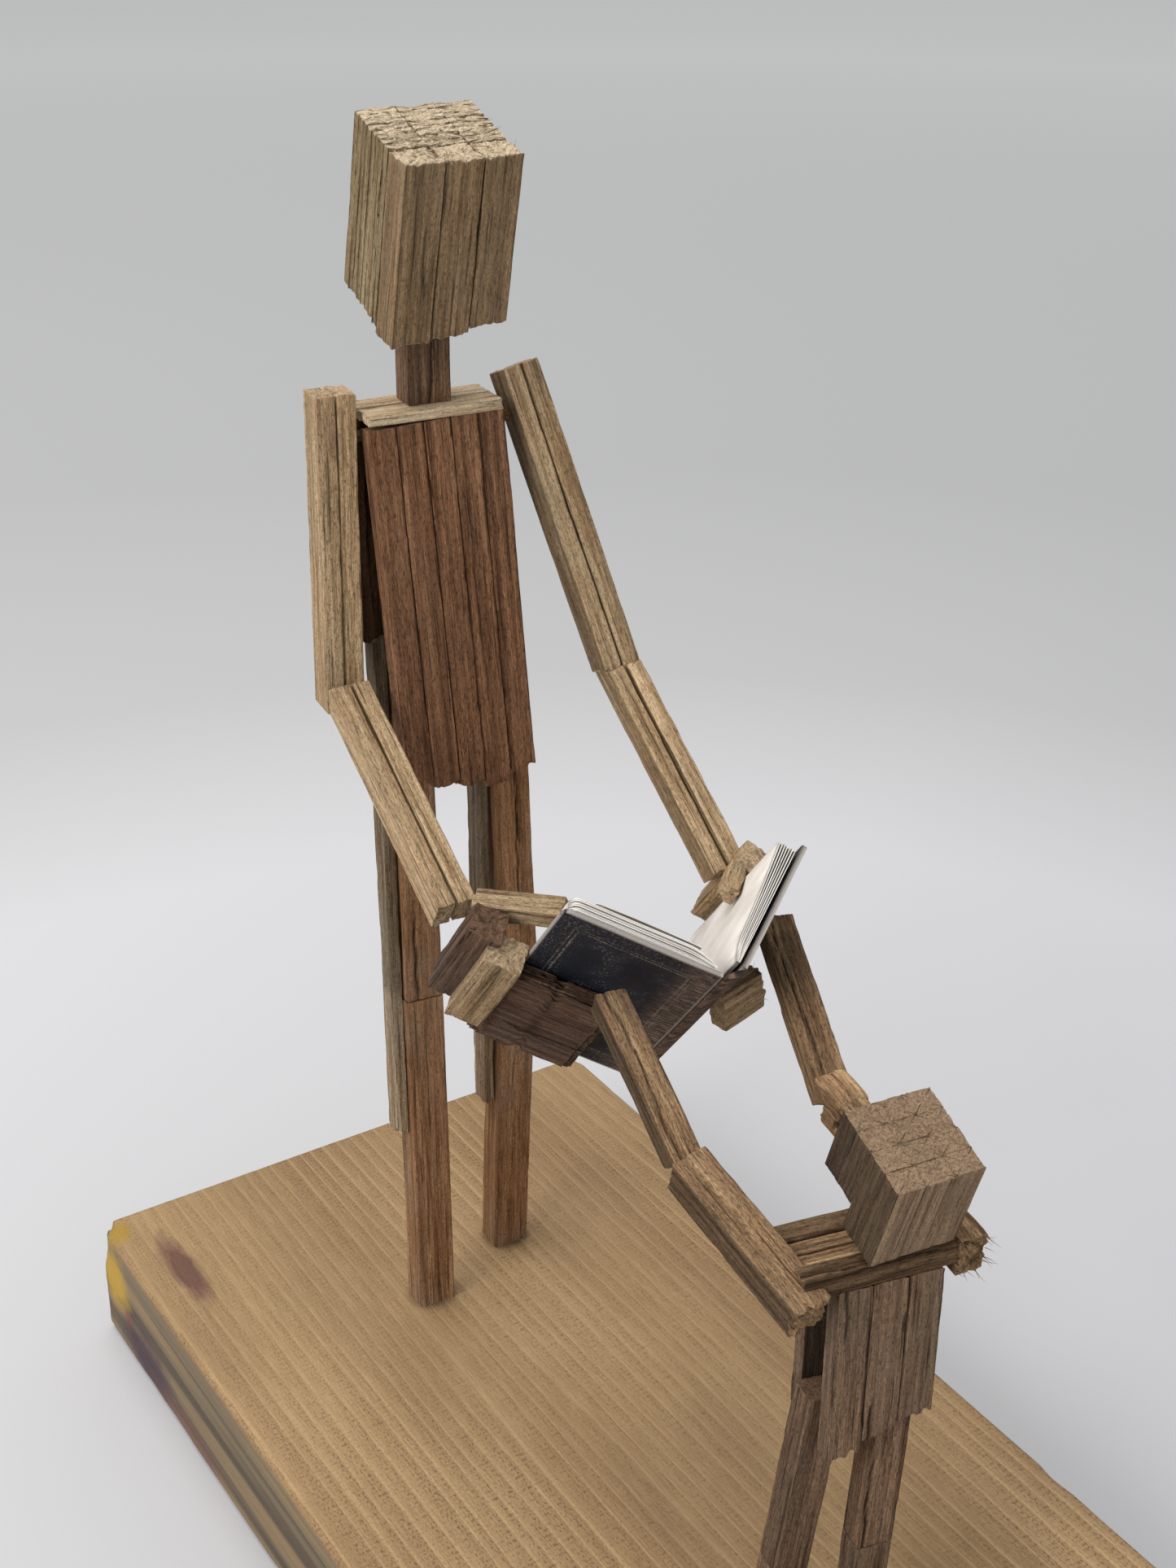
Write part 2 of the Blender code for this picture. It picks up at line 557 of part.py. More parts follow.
def small_neck_and_head(looks):
    rise = SMALL_CHEST_TOP_Z + 2 * GAP + SMALL_BAR_TALL
    stand = SMALL_PLACE @ Matrix.Translation((SMALL_CHEST_OUT + SMALL_NECK_OUT, SMALL_NECK_AHEAD, rise))
    stand = stand @ Matrix.Rotation(SMALL_HEAD_TURN, 4, "Z") @ Matrix.Rotation(SMALL_HEAD_TILT, 4, "X")
    thick = SMALL_TENON_THICK
    size = (SMALL_NECK_WIDE, SMALL_NECK_WIDE, SMALL_NECK_TALL)
    foot = stand @ Matrix.Translation((0, 0, SMALL_NECK_LIFT))
    neck("small_neck", foot, *size, thick, SMALL_TENON_TALL, looks["small"])
    seat = stand @ Matrix.Translation((0, 0, SMALL_NECK_LIFT + SMALL_NECK_TALL + GAP))
    pivot = joint("axis_small_head", seat)
    wide = SMALL_HEAD_WIDE
    half = (SMALL_HEAD_DEEP - GAP) / 2
    for name, side in (("rear", -1), ("front", 1)):
        shift = (0, side * (half + GAP) / 2)
        size = (wide, half, 0, SMALL_HEAD_TALL)
        look = looks["small_head"]
        cube = stick(f"small_head_{name}_half", seat, *size, look, shift, parent=pivot)
        bore = (thick + 2 * GAP, -1 * MM, SMALL_TENON_TALL + GAP)
        cut_away(cube, rod(f"small_head_bore_{name}", seat, *bore, look, pivot))


def small_arm(k, axle, looks):
    name = ("small_left", "small_right")[k]
    shoulder, elbow, hand = SMALL_PLACE @ SMALL_SHOULDERS[k], SMALL_ELBOWS[k], SMALL_HANDS[k]
    across = SMALL_PLACE.to_3x3() @ Vector((1, 0, 0))
    pivot = joint(f"axis_{name}_arm", axle)
    upper = lay(elbow, shoulder, across)
    size = (SMALL_ARM_WIDES[k], SMALL_ARM_DEEP)
    length = (shoulder - elbow).length
    look = looks["small_arm"]
    strip = stick(f"{name}_upper_arm", upper, *size, GAP, length, look, parent=pivot)
    side = (-1, 1)[k]
    ends = sorted((side * 5 * MM, side * (SMALL_PEGS_LONG / 2 + GAP)))
    bore = SMALL_PEG_THICK + 2 * GAP
    cut_away(strip, rod(f"{name}_shoulder_bore", axle, bore, *ends, look, pivot))
    fore = lay(hand, elbow, across)
    size = (SMALL_FOREARM_WIDES[k], SMALL_FOREARM_DEEP)
    reach = (elbow - hand).length - SMALL_FOREARM_SHORT
    slope = (0, 0, 0, SMALL_FOREARM_END_SLOPE)
    stick(f"{name}_forearm", fore, *size, 0, reach, look, (0, 0), slope, pivot)


def main():
    clear_scene()
    looks = {
        "plank": material("pine_plank", (0.46, 0.33, 0.19), 0.7),
        "leg": material("leg_wood", (0.26, 0.16, 0.09), 0.8),
        "splint": material("splint_wood", (0.30, 0.21, 0.14), 0.8),
        "chest": material("dark_weathered_wood", (0.16, 0.09, 0.05), 0.8),
        "bar": material("shoulder_bar_wood", (0.50, 0.38, 0.26), 0.8),
        "neck": material("neck_wood", (0.22, 0.14, 0.09), 0.8),
        "face": material("head_face_wood", (0.30, 0.20, 0.12), 0.8),
        "head_side": material("head_rear_wood", (0.38, 0.28, 0.17), 0.8),
        "arm": material("pale_arm_wood", (0.48, 0.36, 0.22), 0.8),
        "hand": material("dark_hand_wood", (0.13, 0.09, 0.06), 0.8),
        "small": material("small_figure_wood", (0.24, 0.17, 0.12), 0.8),
        "small_head": material("small_head_wood", (0.30, 0.22, 0.15), 0.8),
        "small_arm": material("small_arm_wood", (0.32, 0.24, 0.15), 0.8),
        "cover": material("book_cover_board", (0.02, 0.022, 0.03), 0.55),
        "pages": material("book_paper", (0.78, 0.74, 0.68), 0.9),
        "dowel": material("dowel_wood", (0.40, 0.28, 0.17), 0.7),
    }
    base = plank(looks["plank"])
    tall_legs(base, looks)
    level, bar_top = tall_chest(looks)
    tall_neck_and_head(level, bar_top, looks)
    arms = joint("axis_tall_arms", lay(TALL_DOWEL_MID, TALL_DOWEL_MID + TALL_ACROSS, (0, 0, 1)))
    for k in (0, 1):
        tall_arm(k, arms, looks)
    tall_hands(arms, looks)
    book(arms, looks)
    loose_leaf(arms, looks)
    small_legs(base, looks)
    axle = small_chest(looks)
    small_neck_and_head(looks)
    for k in (0, 1):
        small_arm(k, axle, looks)


main()
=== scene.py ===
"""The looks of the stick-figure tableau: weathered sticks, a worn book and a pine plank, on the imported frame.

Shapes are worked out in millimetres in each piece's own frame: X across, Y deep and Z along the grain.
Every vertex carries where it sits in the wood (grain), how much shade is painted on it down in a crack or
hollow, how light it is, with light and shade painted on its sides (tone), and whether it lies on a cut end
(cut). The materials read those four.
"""

import json
import math

import bpy
import numpy as np
from mathutils import Matrix, Vector


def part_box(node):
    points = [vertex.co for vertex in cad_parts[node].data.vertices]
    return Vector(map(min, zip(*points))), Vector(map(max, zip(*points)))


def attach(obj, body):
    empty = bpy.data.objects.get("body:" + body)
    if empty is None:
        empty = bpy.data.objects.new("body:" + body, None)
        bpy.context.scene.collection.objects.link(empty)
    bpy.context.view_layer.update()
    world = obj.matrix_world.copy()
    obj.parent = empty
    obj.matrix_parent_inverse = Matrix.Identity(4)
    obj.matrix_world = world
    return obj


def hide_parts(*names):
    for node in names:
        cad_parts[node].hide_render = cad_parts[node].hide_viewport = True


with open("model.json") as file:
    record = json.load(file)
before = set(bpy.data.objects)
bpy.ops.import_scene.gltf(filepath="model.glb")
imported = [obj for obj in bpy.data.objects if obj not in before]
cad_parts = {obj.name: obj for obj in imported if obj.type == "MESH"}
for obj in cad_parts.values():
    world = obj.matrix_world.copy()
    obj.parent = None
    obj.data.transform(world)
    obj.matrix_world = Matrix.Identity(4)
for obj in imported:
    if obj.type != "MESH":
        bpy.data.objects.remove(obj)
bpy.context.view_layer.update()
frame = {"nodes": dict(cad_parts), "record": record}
BODY_OF = {
    node: body for body, nodes in frame["record"]["behaviour"]["bodies"].items() for node in nodes
}

MM = 0.001

# The four sides of a stick (-X, +X, -Y and +Y) with no light or shade painted on any of them
UNSHADED_SIDES = (0, 0, 0, 0)

# How finely a stick is divided round it, along it and across its ends, and how far in its last rows are
RING_STEP = 0.24
ROW_STEP = 0.9
CAP_STEP = 0.26
END_ROW = 0.12

# Worn edges of a stick: how broad the chips and the pale rubbed rims are, and how pale a rim is
CHIP_BREADTH = 0.45
RIM_BREADTH = 0.34
RIM_TONE = 0.5

# How deep a crack and how deep any hollow has to be for the shade painted in it to be darkest
DARKEST_CRACK = 0.42
DARKEST_HOLLOW = 0.3

# How far a stick's faces draw in at its ends, over what length, and how much that edge looks like a cut end
BEVEL = 0.06
BEVEL_LENGTH = 0.1
EDGE_CUT = 0.6

# How far apart in the wood two sticks can have lain, which keeps their grain from matching
DRIFT = 400

# The camera, in millimetres and degrees
CAMERA_AT = (-131.3, -182.5, 236.2)
CAMERA_TURN, CAMERA_DOWN, CAMERA_ROLL = -33.23, 26.5, 0.5
CAMERA_LENS = 49.5


# ---------------------------------------------------------------- noise

def hashed(cells, seed):
    """A number from 0 to 1 for each whole-numbered cell."""
    x, y, z = (cells[..., k].astype(np.int64) for k in range(3))
    mixed = (x * 374761393 + y * 668265263 + z * 1440662683 + seed * 974711) & 0xFFFFFFFF
    mixed = ((mixed ^ (mixed >> 13)) * 1274126177) & 0xFFFFFFFF
    mixed = ((mixed ^ (mixed >> 15)) * 2246822519) & 0xFFFFFFFF
    return ((mixed ^ (mixed >> 16)) & 0xFFFFFF) / 0xFFFFFF


def noise(points, scale, seed=0):
    """Smooth noise from -1 to 1, with this many cells a millimetre along X, Y and Z."""
    scaled = points * np.array(scale, float)
    cell = np.floor(scaled)
    part = scaled - cell
    part = part * part * (3 - 2 * part)
    total = np.zeros(points.shape[:-1])
    for corner in np.ndindex(2, 2, 2):
        near = np.where(corner, part, 1 - part)
        total += near.prod(axis=-1) * hashed(cell + np.array(corner), seed)
    return total * 2 - 1


def patches(points, scale, seed, lift=0.0):
    """Noise cut off below 0, which leaves patches of it: the more lift, the larger they are."""
    return np.clip(noise(points, scale, seed) + lift, 0, 1)


def nearness(distance, reach):
    """1 at no distance, falling to 0 at this reach."""
    return np.clip(1 - distance / reach, 0, 1)


# ---------------------------------------------------------------- meshes

def linked(name, data):
    """A new object in the scene."""
    made = bpy.data.objects.new(name, data)
    bpy.context.scene.collection.objects.link(made)
    return made


class Shell:
    """One piece's vertices, faces and per-vertex values."""

    def __init__(self):
        self.points, self.grain, self.values, self.faces = [], [], [], []
        self.count = 0

    def add(self, points, faces, grain, painted_shade=0.0, tone=0.0, cut=0.0):
        points = points.reshape(-1, 3)
        values = np.zeros((len(points), 3))
        for k, given in enumerate((painted_shade, tone, cut)):
            values[:, k] = np.asarray(given, float).reshape(-1)
        self.points.append(points)
        self.grain.append(grain.reshape(-1, 3))
        self.values.append(values)
        for block in faces:
            self.faces.extend((np.asarray(block) + self.count).tolist())
        self.count += len(points)

    def build(self, name, place, look, node, slot):
        """Makes the piece that stands in for one CAD node and rides on its body."""
        mesh = bpy.data.meshes.new(name)
        points = np.concatenate(self.points) * MM
        mesh.from_pydata(points.tolist(), [], self.faces)
        mesh.attributes.new("grain", "FLOAT_VECTOR", "POINT").data.foreach_set(
            "vector", np.concatenate(self.grain).astype(np.float32).ravel()
        )
        values = np.concatenate(self.values).astype(np.float32)
        for k, label in enumerate(("painted_shade", "tone", "cut")):
            mesh.attributes.new(label, "FLOAT", "POINT").data.foreach_set("value", values[:, k].copy())
        mesh.materials.append(look)
        mesh.shade_smooth()
        made = linked(name, mesh)
        made.matrix_world = place
        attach(made, BODY_OF[node])
        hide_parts(node)


def ring(wide, deep, corner, step):
    """Points round a rounded rectangle, their outward directions and how far from a corner each is."""
    inner = np.array((wide / 2 - corner, deep / 2 - corner))
    points, outward = [], []
    arc = max(2, int(math.ceil(corner * math.pi / 2 / step)))
    for k, (sx, sy) in enumerate(((1, 1), (-1, 1), (-1, -1), (1, -1))):
        for a in range(arc + 1):
            turn = math.pi / 2 * (k + a / arc)
            way = np.array((math.cos(turn), math.sin(turn)))
            points.append(inner * (sx, sy) + way * corner)
            outward.append(way)
        run = 2 * inner[k % 2]
        steps = int(run / step)
        for _ in range(1, steps):
            points.append(points[-1] + run / steps * np.array((-math.sin(turn), math.cos(turn))))
            outward.append(way)
    points, outward = np.array(points), np.array(outward)
    off = np.abs(np.abs(points) - np.array((wide, deep)) / 2).max(axis=1)
    return points, outward, off


def tube_faces(rows, around):
    """Quads between closed rings of points, ring after ring."""
    a = np.arange(rows - 1)[:, None] * around
    k = np.arange(around)[None, :]
    n = (k + 1) % around
    return np.stack((a + k, a + n, a + n + around, a + k + around), axis=-1).reshape(-1, 4)


def end_faces(rows, around, which):
    """Quads between rings that shrink and a fan to the hub after them, facing down (0) or up (1)."""
    core = np.arange(around) + (rows - 1) * around
    fan = np.stack((core, np.roll(core, -1), np.full(around, rows * around)), axis=-1)
    return [block if which else block[:, ::-1] for block in (tube_faces(rows, around), fan)]


def with_hub(rings):
    """All the points of the rings, then the middle of the last one."""
    return np.concatenate((rings.reshape(-1, 3), rings[-1].mean(axis=0)[None]))


class Wood:
    """How one kind of stick is weathered, in millimetres."""

    # Its last setting says how much shade is painted in the pits of its sawn ends
    def __init__(self, groove=0.1, broad=0.1, chip=0.22, fray=0.25, cracks=2, crack=0.5, bow=0.0, corner=0.3,
                 pit_shade=1.0):
        self.groove, self.broad, self.chip, self.fray = groove, broad, chip, fray
        self.cracks, self.crack, self.bow, self.corner, self.pit_shade = cracks, crack, bow, corner, pit_shade


def crack_depth(around, spots, z, low, high, wood, rng, seams=()):
    """How far long splits cut in: V grooves that wander along the grain. Seams run from end to end."""
    depth = np.zeros_like(z)
    span = high - low
    for at in seams or rng.uniform(0, 1, wood.cracks):
        place = at * around
        start, end = np.sort(rng.uniform(-0.25, 1.25, 2))
        if seams:
            start, end = -0.1, 1.1
        wander = 0.25 * np.sin(z / span * rng.uniform(3, 9) + rng.uniform(0, 6)) + 0.1 * np.sin(z * 1.1)
        away = np.abs(spots[None, :] - place - wander)
        away = np.minimum(away, around - away)
        share = (z - low) / span
        fade = np.clip((share - start) * 8, 0, 1) * np.clip((end - share) * 8, 0, 1)
        breadth = rng.uniform(0.16, 0.3)
        cut = wood.crack * rng.uniform(0.6, 1.1) * nearness(away, breadth) * fade
        depth = np.maximum(depth, cut)
    return depth


def stick(shell, wide, deep, low, high, seed, wood, tone=0.0, shift=(0, 0), slopes=(0, 0, 0, 0), frays=None,
          seams=(), sides=UNSHADED_SIDES, above=None):
    """One weathered stick, closed at both ends. Slopes tip its ends, and frays say how ragged they are.

    Sides paint light or shade on its four sides, and above lightens or darkens it beyond a level along it.
    """
    rng = np.random.default_rng(seed)
    corner = min(wood.corner, 0.49 * min(wide, deep))
    xy, out, off = ring(wide, deep, corner, RING_STEP)
    spots = np.concatenate(((0,), np.cumsum(np.linalg.norm(np.diff(xy, axis=0), axis=1))))
    around = spots[-1] + np.linalg.norm(xy[0] - xy[-1])
    frays = frays or (wood.fray, wood.fray)
    drift = rng.uniform(-DRIFT, DRIFT, 3)

    def end_level(x, y, which):
        flat = np.stack((x + 31.7 * which, y, np.zeros_like(x)), axis=-1) + drift * (1, 1, 0)
        rough = 0.5 * patches(flat, (1.1, 1.1, 1), seed, 0.35)
        rough += 0.5 * patches(flat, (2.6, 2.6, 1), seed + 7, 0.2)
        level = (low, high)[which] + x * slopes[2 * which] + y * slopes[2 * which + 1]
        return level + (1, -1)[which] * frays[which] * rough, rough

    ends = [end_level(xy[:, 0], xy[:, 1], which)[0] for which in (0, 1)]
    rows = max(5, int((high - low) / ROW_STEP))
    share = np.linspace(0, 1, rows + 1)
    share = np.sort(np.concatenate((share, (END_ROW / (high - low), 1 - END_ROW / (high - low)))))
    z = ends[0][None, :] * (1 - share[:, None]) + ends[1][None, :] * share[:, None]
    base = np.broadcast_to(xy[None, :, :], z.shape + (2,))
    where = np.concatenate((base, z[..., None]), axis=-1) + drift
    depth = wood.groove * patches(where, (4.2, 4.2, 0.1), seed + 1)
    depth += 0.5 * wood.groove * patches(where, (8.0, 8.0, 0.5), seed + 2)
    depth += wood.broad * (0.5 + 0.5 * noise(where, (0.9, 0.9, 0.06), seed + 3))
    worn = nearness(off, CHIP_BREADTH)[None, :]
    depth += worn * wood.chip * patches(where, (0.7, 0.7, 0.45), seed + 4, -0.1)
    cuts = crack_depth(around, spots, z, low, high, wood, rng)
    if seams:
        cuts = np.maximum(cuts, crack_depth(around, spots, z, low, high, wood, rng, seams))
    edge_fade = np.clip(np.minimum(share, 1 - share) * (high - low) / BEVEL_LENGTH, 0, 1)[:, None]
    depth = depth + cuts + BEVEL * (1 - edge_fade)
    points = np.concatenate((base - out[None] * depth[..., None], z[..., None]), axis=-1)
    bow = wood.bow * np.sin(math.pi * share)[:, None] * rng.uniform(-1, 1, 2)
    points[..., :2] += bow[:, None, :] + np.array(shift)
    # Shade painted down in cracks and hollows, darker the deeper they are
    painted_shade = np.clip(cuts / DARKEST_CRACK, 0, 1) + 0.35 * np.clip(depth / DARKEST_HOLLOW, 0, 1)
    cut = np.zeros_like(z)
    cut[0], cut[-1] = EDGE_CUT, EDGE_CUT
    grain = np.concatenate((base, z[..., None]), axis=-1) + drift
    # Light or shade painted on each side, as much as a point faces that side, added to the tone with the rubbed
    # rims
    facing = np.clip(np.stack((-out[:, 0], out[:, 0], -out[:, 1], out[:, 1])), 0, 1)
    rubbed = RIM_TONE * nearness(off, RIM_BREADTH)[None] * patches(where, (1.2, 1.2, 0.8), seed + 5, 0.6)
    tone_and_side_shade = tone + (np.array(sides) @ facing)[None] + rubbed
    if above:
        tone_and_side_shade = tone_and_side_shade + above[1] * np.clip((z - above[0]) / 2.0, 0, 1)
    shell.add(points, [tube_faces(len(share), len(xy))], grain, np.clip(painted_shade, 0, 1), tone_and_side_shade, cut)
    for which in (0, 1):
        cap(shell, points[-which], xy, end_level, which, tone, drift, shift, wood)


def cap(shell, rim, xy, end_level, which, tone, drift, shift, wood):
    """A rough sawn end: rings that shrink from the rim to the middle."""
    middle = np.array(shift) if wood.bow == 0 else rim[:, :2].mean(axis=0)
    steps = max(3, int(math.ceil((min(np.ptp(xy[:, 0]), np.ptp(xy[:, 1])) / 2) / CAP_STEP)))
    rows = []
    for s in np.linspace(1, 0.06, steps):
        x, y = (rim[:, :2] - middle).T * s
        level, rough = end_level(xy[:, 0] * s, xy[:, 1] * s, which)
        z = rim[:, 2] if s == 1 else level
        rows.append((np.stack((x + middle[0], y + middle[1], z), axis=-1), rough, xy * s))
    points, rough, flat = (np.stack(parts) for parts in zip(*rows))
    grain = np.concatenate((flat, points[..., 2:]), axis=-1).reshape(-1, 3) + drift
    grain = np.concatenate((grain, grain[-1:]))
    # Shade painted in the pits of the rough end, darker the deeper they are
    painted_shade = np.clip(0.75 * rough.ravel() - 0.15, 0, 1) * wood.pit_shade
    painted_shade = np.concatenate((painted_shade, painted_shade[-1:]))
    shell.add(with_hub(points), end_faces(len(rows), len(rim), which), grain, painted_shade, tone, 1.0)


def fibres(shell, splinters, thick, seed, tone):
    """Thin curved three-sided slivers, each with its start, direction and length."""
    rng = np.random.default_rng(seed)
    rows = 5
    for start, way, length in splinters:
        way = np.array(way, float) / np.linalg.norm(way)
        side = np.cross(way, rng.normal(size=3))
        side /= np.linalg.norm(side)
        other = np.cross(way, side)
        curl = rng.uniform(-0.5, 0.5, 2) * length
        points = []
        for s in np.linspace(0, 1, rows):
            centre = start + way * length * s + (side * curl[0] + other * curl[1]) * s * s
            size = thick * (1 - 0.85 * s)
            for k in range(3):
                turn = 2 * math.pi * k / 3
                points.append(centre + size * (side * math.cos(turn) + other * math.sin(turn)))
        points = np.array(points)
        last = (rows - 1) * 3
        ends = np.array(((2, 1, 0), (last, last + 1, last + 2)))
        grain = points + rng.uniform(-300, 300, 3)
        shell.add(points, [tube_faces(rows, 3), ends], grain, 0.0, tone + rng.uniform(-0.3, 0.3), 0.8)


# ---------------------------------------------------------------- frames of the CAD sticks

def cad_points(node):
    """A CAD node's vertices, in millimetres."""
    return np.array([v.co[:] for v in frame["nodes"][node].data.vertices]) / MM


def placed(axes, origin):
    """Where a piece goes whose X, Y and Z run along these columns."""
    made = Matrix(axes.tolist()).to_4x4()
    made.translation = Vector(origin) * MM
    return made


class Squared:
    """The frame and size of a squared CAD stick, read from its own flat faces."""

    def __init__(self, node, grain_along=None):
        mesh = frame["nodes"][node].data
        ways = np.array([f.normal[:] for f in mesh.polygons])
        areas = np.array([f.area for f in mesh.polygons])
        middles = np.array([f.center[:] for f in mesh.polygons]) / MM
        alike = np.abs(ways @ ways.T) > 0.9995

        def largest(allowed):
            """The face, of those allowed, whose direction has the most area."""
            return int(np.argmax((alike * areas[None, :]).sum(axis=1) * allowed))

        first = ways[largest(np.ones(len(ways)))]
        second = ways[largest(np.abs(ways @ first) < 0.02)]
        along = np.cross(first, second)
        if grain_along is not None:
            sides = sorted((first, second, along), key=lambda way: -abs(way @ np.array(grain_along)))
            along, first, second = sides
        if along[2] < -0.3 or (abs(along[2]) <= 0.3 and along[0] < 0):
            along = -along
        across = max((first, second), key=lambda way: abs(way[0]))
        if across[0] < 0:
            across = -across
        deep = np.cross(along, across)
        turn = np.stack((across, deep, along), axis=1)
        local = cad_points(node) @ turn
        low, high = local.min(axis=0), local.max(axis=0)
        self.wide, self.deep = high[0] - low[0], high[1] - low[1]
        middle = (low + high) / 2
        middle[2] = 0
        self.slopes, levels = [], []
        for sign in (-1, 1):
            chosen = largest((ways @ along) * sign > 0.8)
            way, spot = turn.T @ ways[chosen], turn.T @ middles[chosen] - middle
            self.slopes += [-way[0] / way[2], -way[1] / way[2]]
            levels.append(spot @ way / way[2])
        self.low, self.high = levels
        self.turn, self.origin = turn, turn @ middle
        self.points = local - middle

    def place(self):
        return placed(self.turn, self.origin)


# ---------------------------------------------------------------- materials

def srgb(red, green, blue):
    """A colour given as 0 to 255 on a screen, as the linear values that shaders take."""
    parts = []
    for level in (red, green, blue):
        level = level / 255
        parts.append(level / 12.92 if level <= 0.04045 else ((level + 0.055) / 1.055) ** 2.4)
    return (*parts, 1.0)


class Shader:
    """Short names for the nodes that a material here is made of."""

    def __init__(self, name):
        self.material = bpy.data.materials.new(name)
        self.material.use_nodes = True
        self.tree = self.material.node_tree
        self.tree.nodes.clear()

    def put(self, socket, value):
        if isinstance(value, bpy.types.NodeSocket):
            self.tree.links.new(value, socket)
        else:
            socket.default_value = value

    def node(self, kind, **inputs):
        """A new node with these inputs by name."""
        made = self.tree.nodes.new(kind)
        for key, value in inputs.items():
            self.put(made.inputs[key.replace("_", " ")], value)
        return made

    def wired(self, kind, *inputs, **settings):
        """A new node with these settings and, in order, its first inputs."""
        made = self.tree.nodes.new(kind)
        for key, value in settings.items():
            setattr(made, key, value)
        for socket, value in zip(made.inputs, inputs):
            self.put(socket, value)
        return made

    def value(self, label, vector=False):
        made = self.wired("ShaderNodeAttribute", attribute_name=label)
        return made.outputs["Vector" if vector else "Fac"]

    def vector(self, operation, *inputs):
        made = self.wired("ShaderNodeVectorMath", *inputs, operation=operation)
        return made.outputs["Value" if operation == "LENGTH" else "Vector"]

    def maths(self, operation, a, b=0.0, clamp=False):
        return self.wired("ShaderNodeMath", a, b, operation=operation, use_clamp=clamp).outputs[0]

    def times(self, a, b, clamp=False):
        return self.maths("MULTIPLY", a, b, clamp)

    def plus(self, a, b):
        return self.maths("ADD", a, b)

    def minus(self, a, b):
        return self.maths("SUBTRACT", a, b)

    def noise(self, where, scale, detail=2.0, rough=0.55):
        spot = self.vector("MULTIPLY", where, scale)
        made = self.node("ShaderNodeTexNoise", Scale=1.0, Detail=detail, Roughness=rough)
        self.put(made.inputs["Vector"], spot)
        return made.outputs["Fac"]

    def between(self, value, low, high, to_low=0.0, to_high=1.0):
        return self.wired("ShaderNodeMapRange", value, low, high, to_low, to_high).outputs[0]

    def mix(self, share, a, b, blend="MIX"):
        made = self.wired("ShaderNodeMix", share, data_type="RGBA", blend_type=blend)
        self.put(made.inputs[6], a)
        self.put(made.inputs[7], b)
        return made.outputs[2]

    def scaled(self, colour, amount):
        """The colour with its red, green and blue multiplied by one amount."""
        amounts = self.node("ShaderNodeCombineXYZ", X=amount, Y=amount, Z=amount)
        return self.mix(1.0, colour, amounts.outputs[0], "MULTIPLY")

    def paint(self, colour, where, strength, tint, clamp=False):
        """The colour with a screen colour laid over it, this strongly where a value is 1."""
        return self.mix(self.times(where, strength, clamp), colour, srgb(*tint))

    def ramp(self, value, low, high, *stops):
        """Colours spread over low to high. A stop's colour is three screen values or four linear ones."""
        made = self.wired("ShaderNodeValToRGB", self.between(value, low, high))
        elements = made.color_ramp.elements
        while len(elements) < len(stops):
            elements.new(0.5)
        for element, (at, colour) in zip(elements, stops):
            element.position = at
            element.color = colour if len(colour) == 4 else srgb(*colour)
        return made.outputs[0]

    def finish(self, colour, roughness, height, distance, specular=0.25):
        bump = self.node("ShaderNodeBump", Strength=1.0, Distance=distance * MM, Height=height)
        shader = self.node("ShaderNodeBsdfPrincipled", Base_Color=colour, Roughness=roughness)
        self.put(shader.inputs["Specular IOR Level"], specular)
        self.put(shader.inputs["Normal"], bump.outputs[0])
        self.node("ShaderNodeOutputMaterial", Surface=shader.outputs[0])
        return self.material


# The colour of the shade painted down in splits, hollows and the pits of sawn ends
CRACK_SHADE = (38, 26, 18)


def wood_look(name, dark, mid, light, end, grey, grey_share, fleck):
    """Dry split wood: fibre streaks, broad bands, short dark flecks, greyed patches and pale rough ends."""
    s = Shader(name)
    at = s.value("grain", vector=True)
    fine = s.noise(at, (7.5, 7.5, 0.3), 5.0, 0.75)
    band = s.noise(at, (1.1, 1.1, 0.035), 3.0)
    patch = s.noise(at, (0.16, 0.16, 0.05))
    dashes = s.noise(at, (5.6, 5.6, 1.2), 3.0, 0.65)
    streak = s.noise(at, (2.6, 2.6, 0.07))
    grit = s.noise(at, (6.5, 6.5, 2.6), 4.0, 0.75)
    mixed = s.plus(s.times(fine, 0.5), s.times(band, 0.5))
    colour = s.ramp(mixed, 0.39, 0.61, (0.0, dark), (0.5, mid), (1.0, light))
    colour = s.paint(colour, s.between(patch, 0.42, 0.66), grey_share, grey)
    flecks = s.times(s.between(dashes, 0.54, 0.66), fleck)
    colour = s.mix(flecks, colour, srgb(*(0.55 * np.array(dark))))
    lines = s.times(s.between(streak, 0.6, 0.7), 0.65)
    colour = s.mix(lines, colour, srgb(*(0.5 * np.array(dark))))
    colour = s.scaled(colour, s.between(grit, 0.3, 0.7, 0.62, 1.38))
    fuzz = s.noise(at, (3.0, 3.0, 2.0), 4.0, 0.7)
    pale = s.ramp(fuzz, 0.3, 0.7, (0.0, 0.62 * np.array(end)), (0.6, end),
                  (1.0, np.minimum(1.08 * np.array(end), 255)))
    colour = s.mix(s.value("cut"), colour, pale)
    # The tone lightens or darkens the wood: its own tone, its rubbed rims and the light and shade painted on
    # its sides
    colour = s.scaled(colour, s.maths("MAXIMUM", s.plus(1.0, s.times(s.value("tone"), 0.35)), 0.2))
    # Shade painted down in cracks, hollows and the pits of sawn ends
    colour = s.paint(colour, s.value("painted_shade"), 0.9, CRACK_SHADE, clamp=True)
    rough = s.between(fine, 0.3, 0.7, 0.95, 0.75)
    height = s.minus(s.plus(fine, s.times(grit, 0.5)), s.plus(s.times(flecks, 0.6), lines))
    return s.finish(colour, rough, height, 0.32, 0.15)


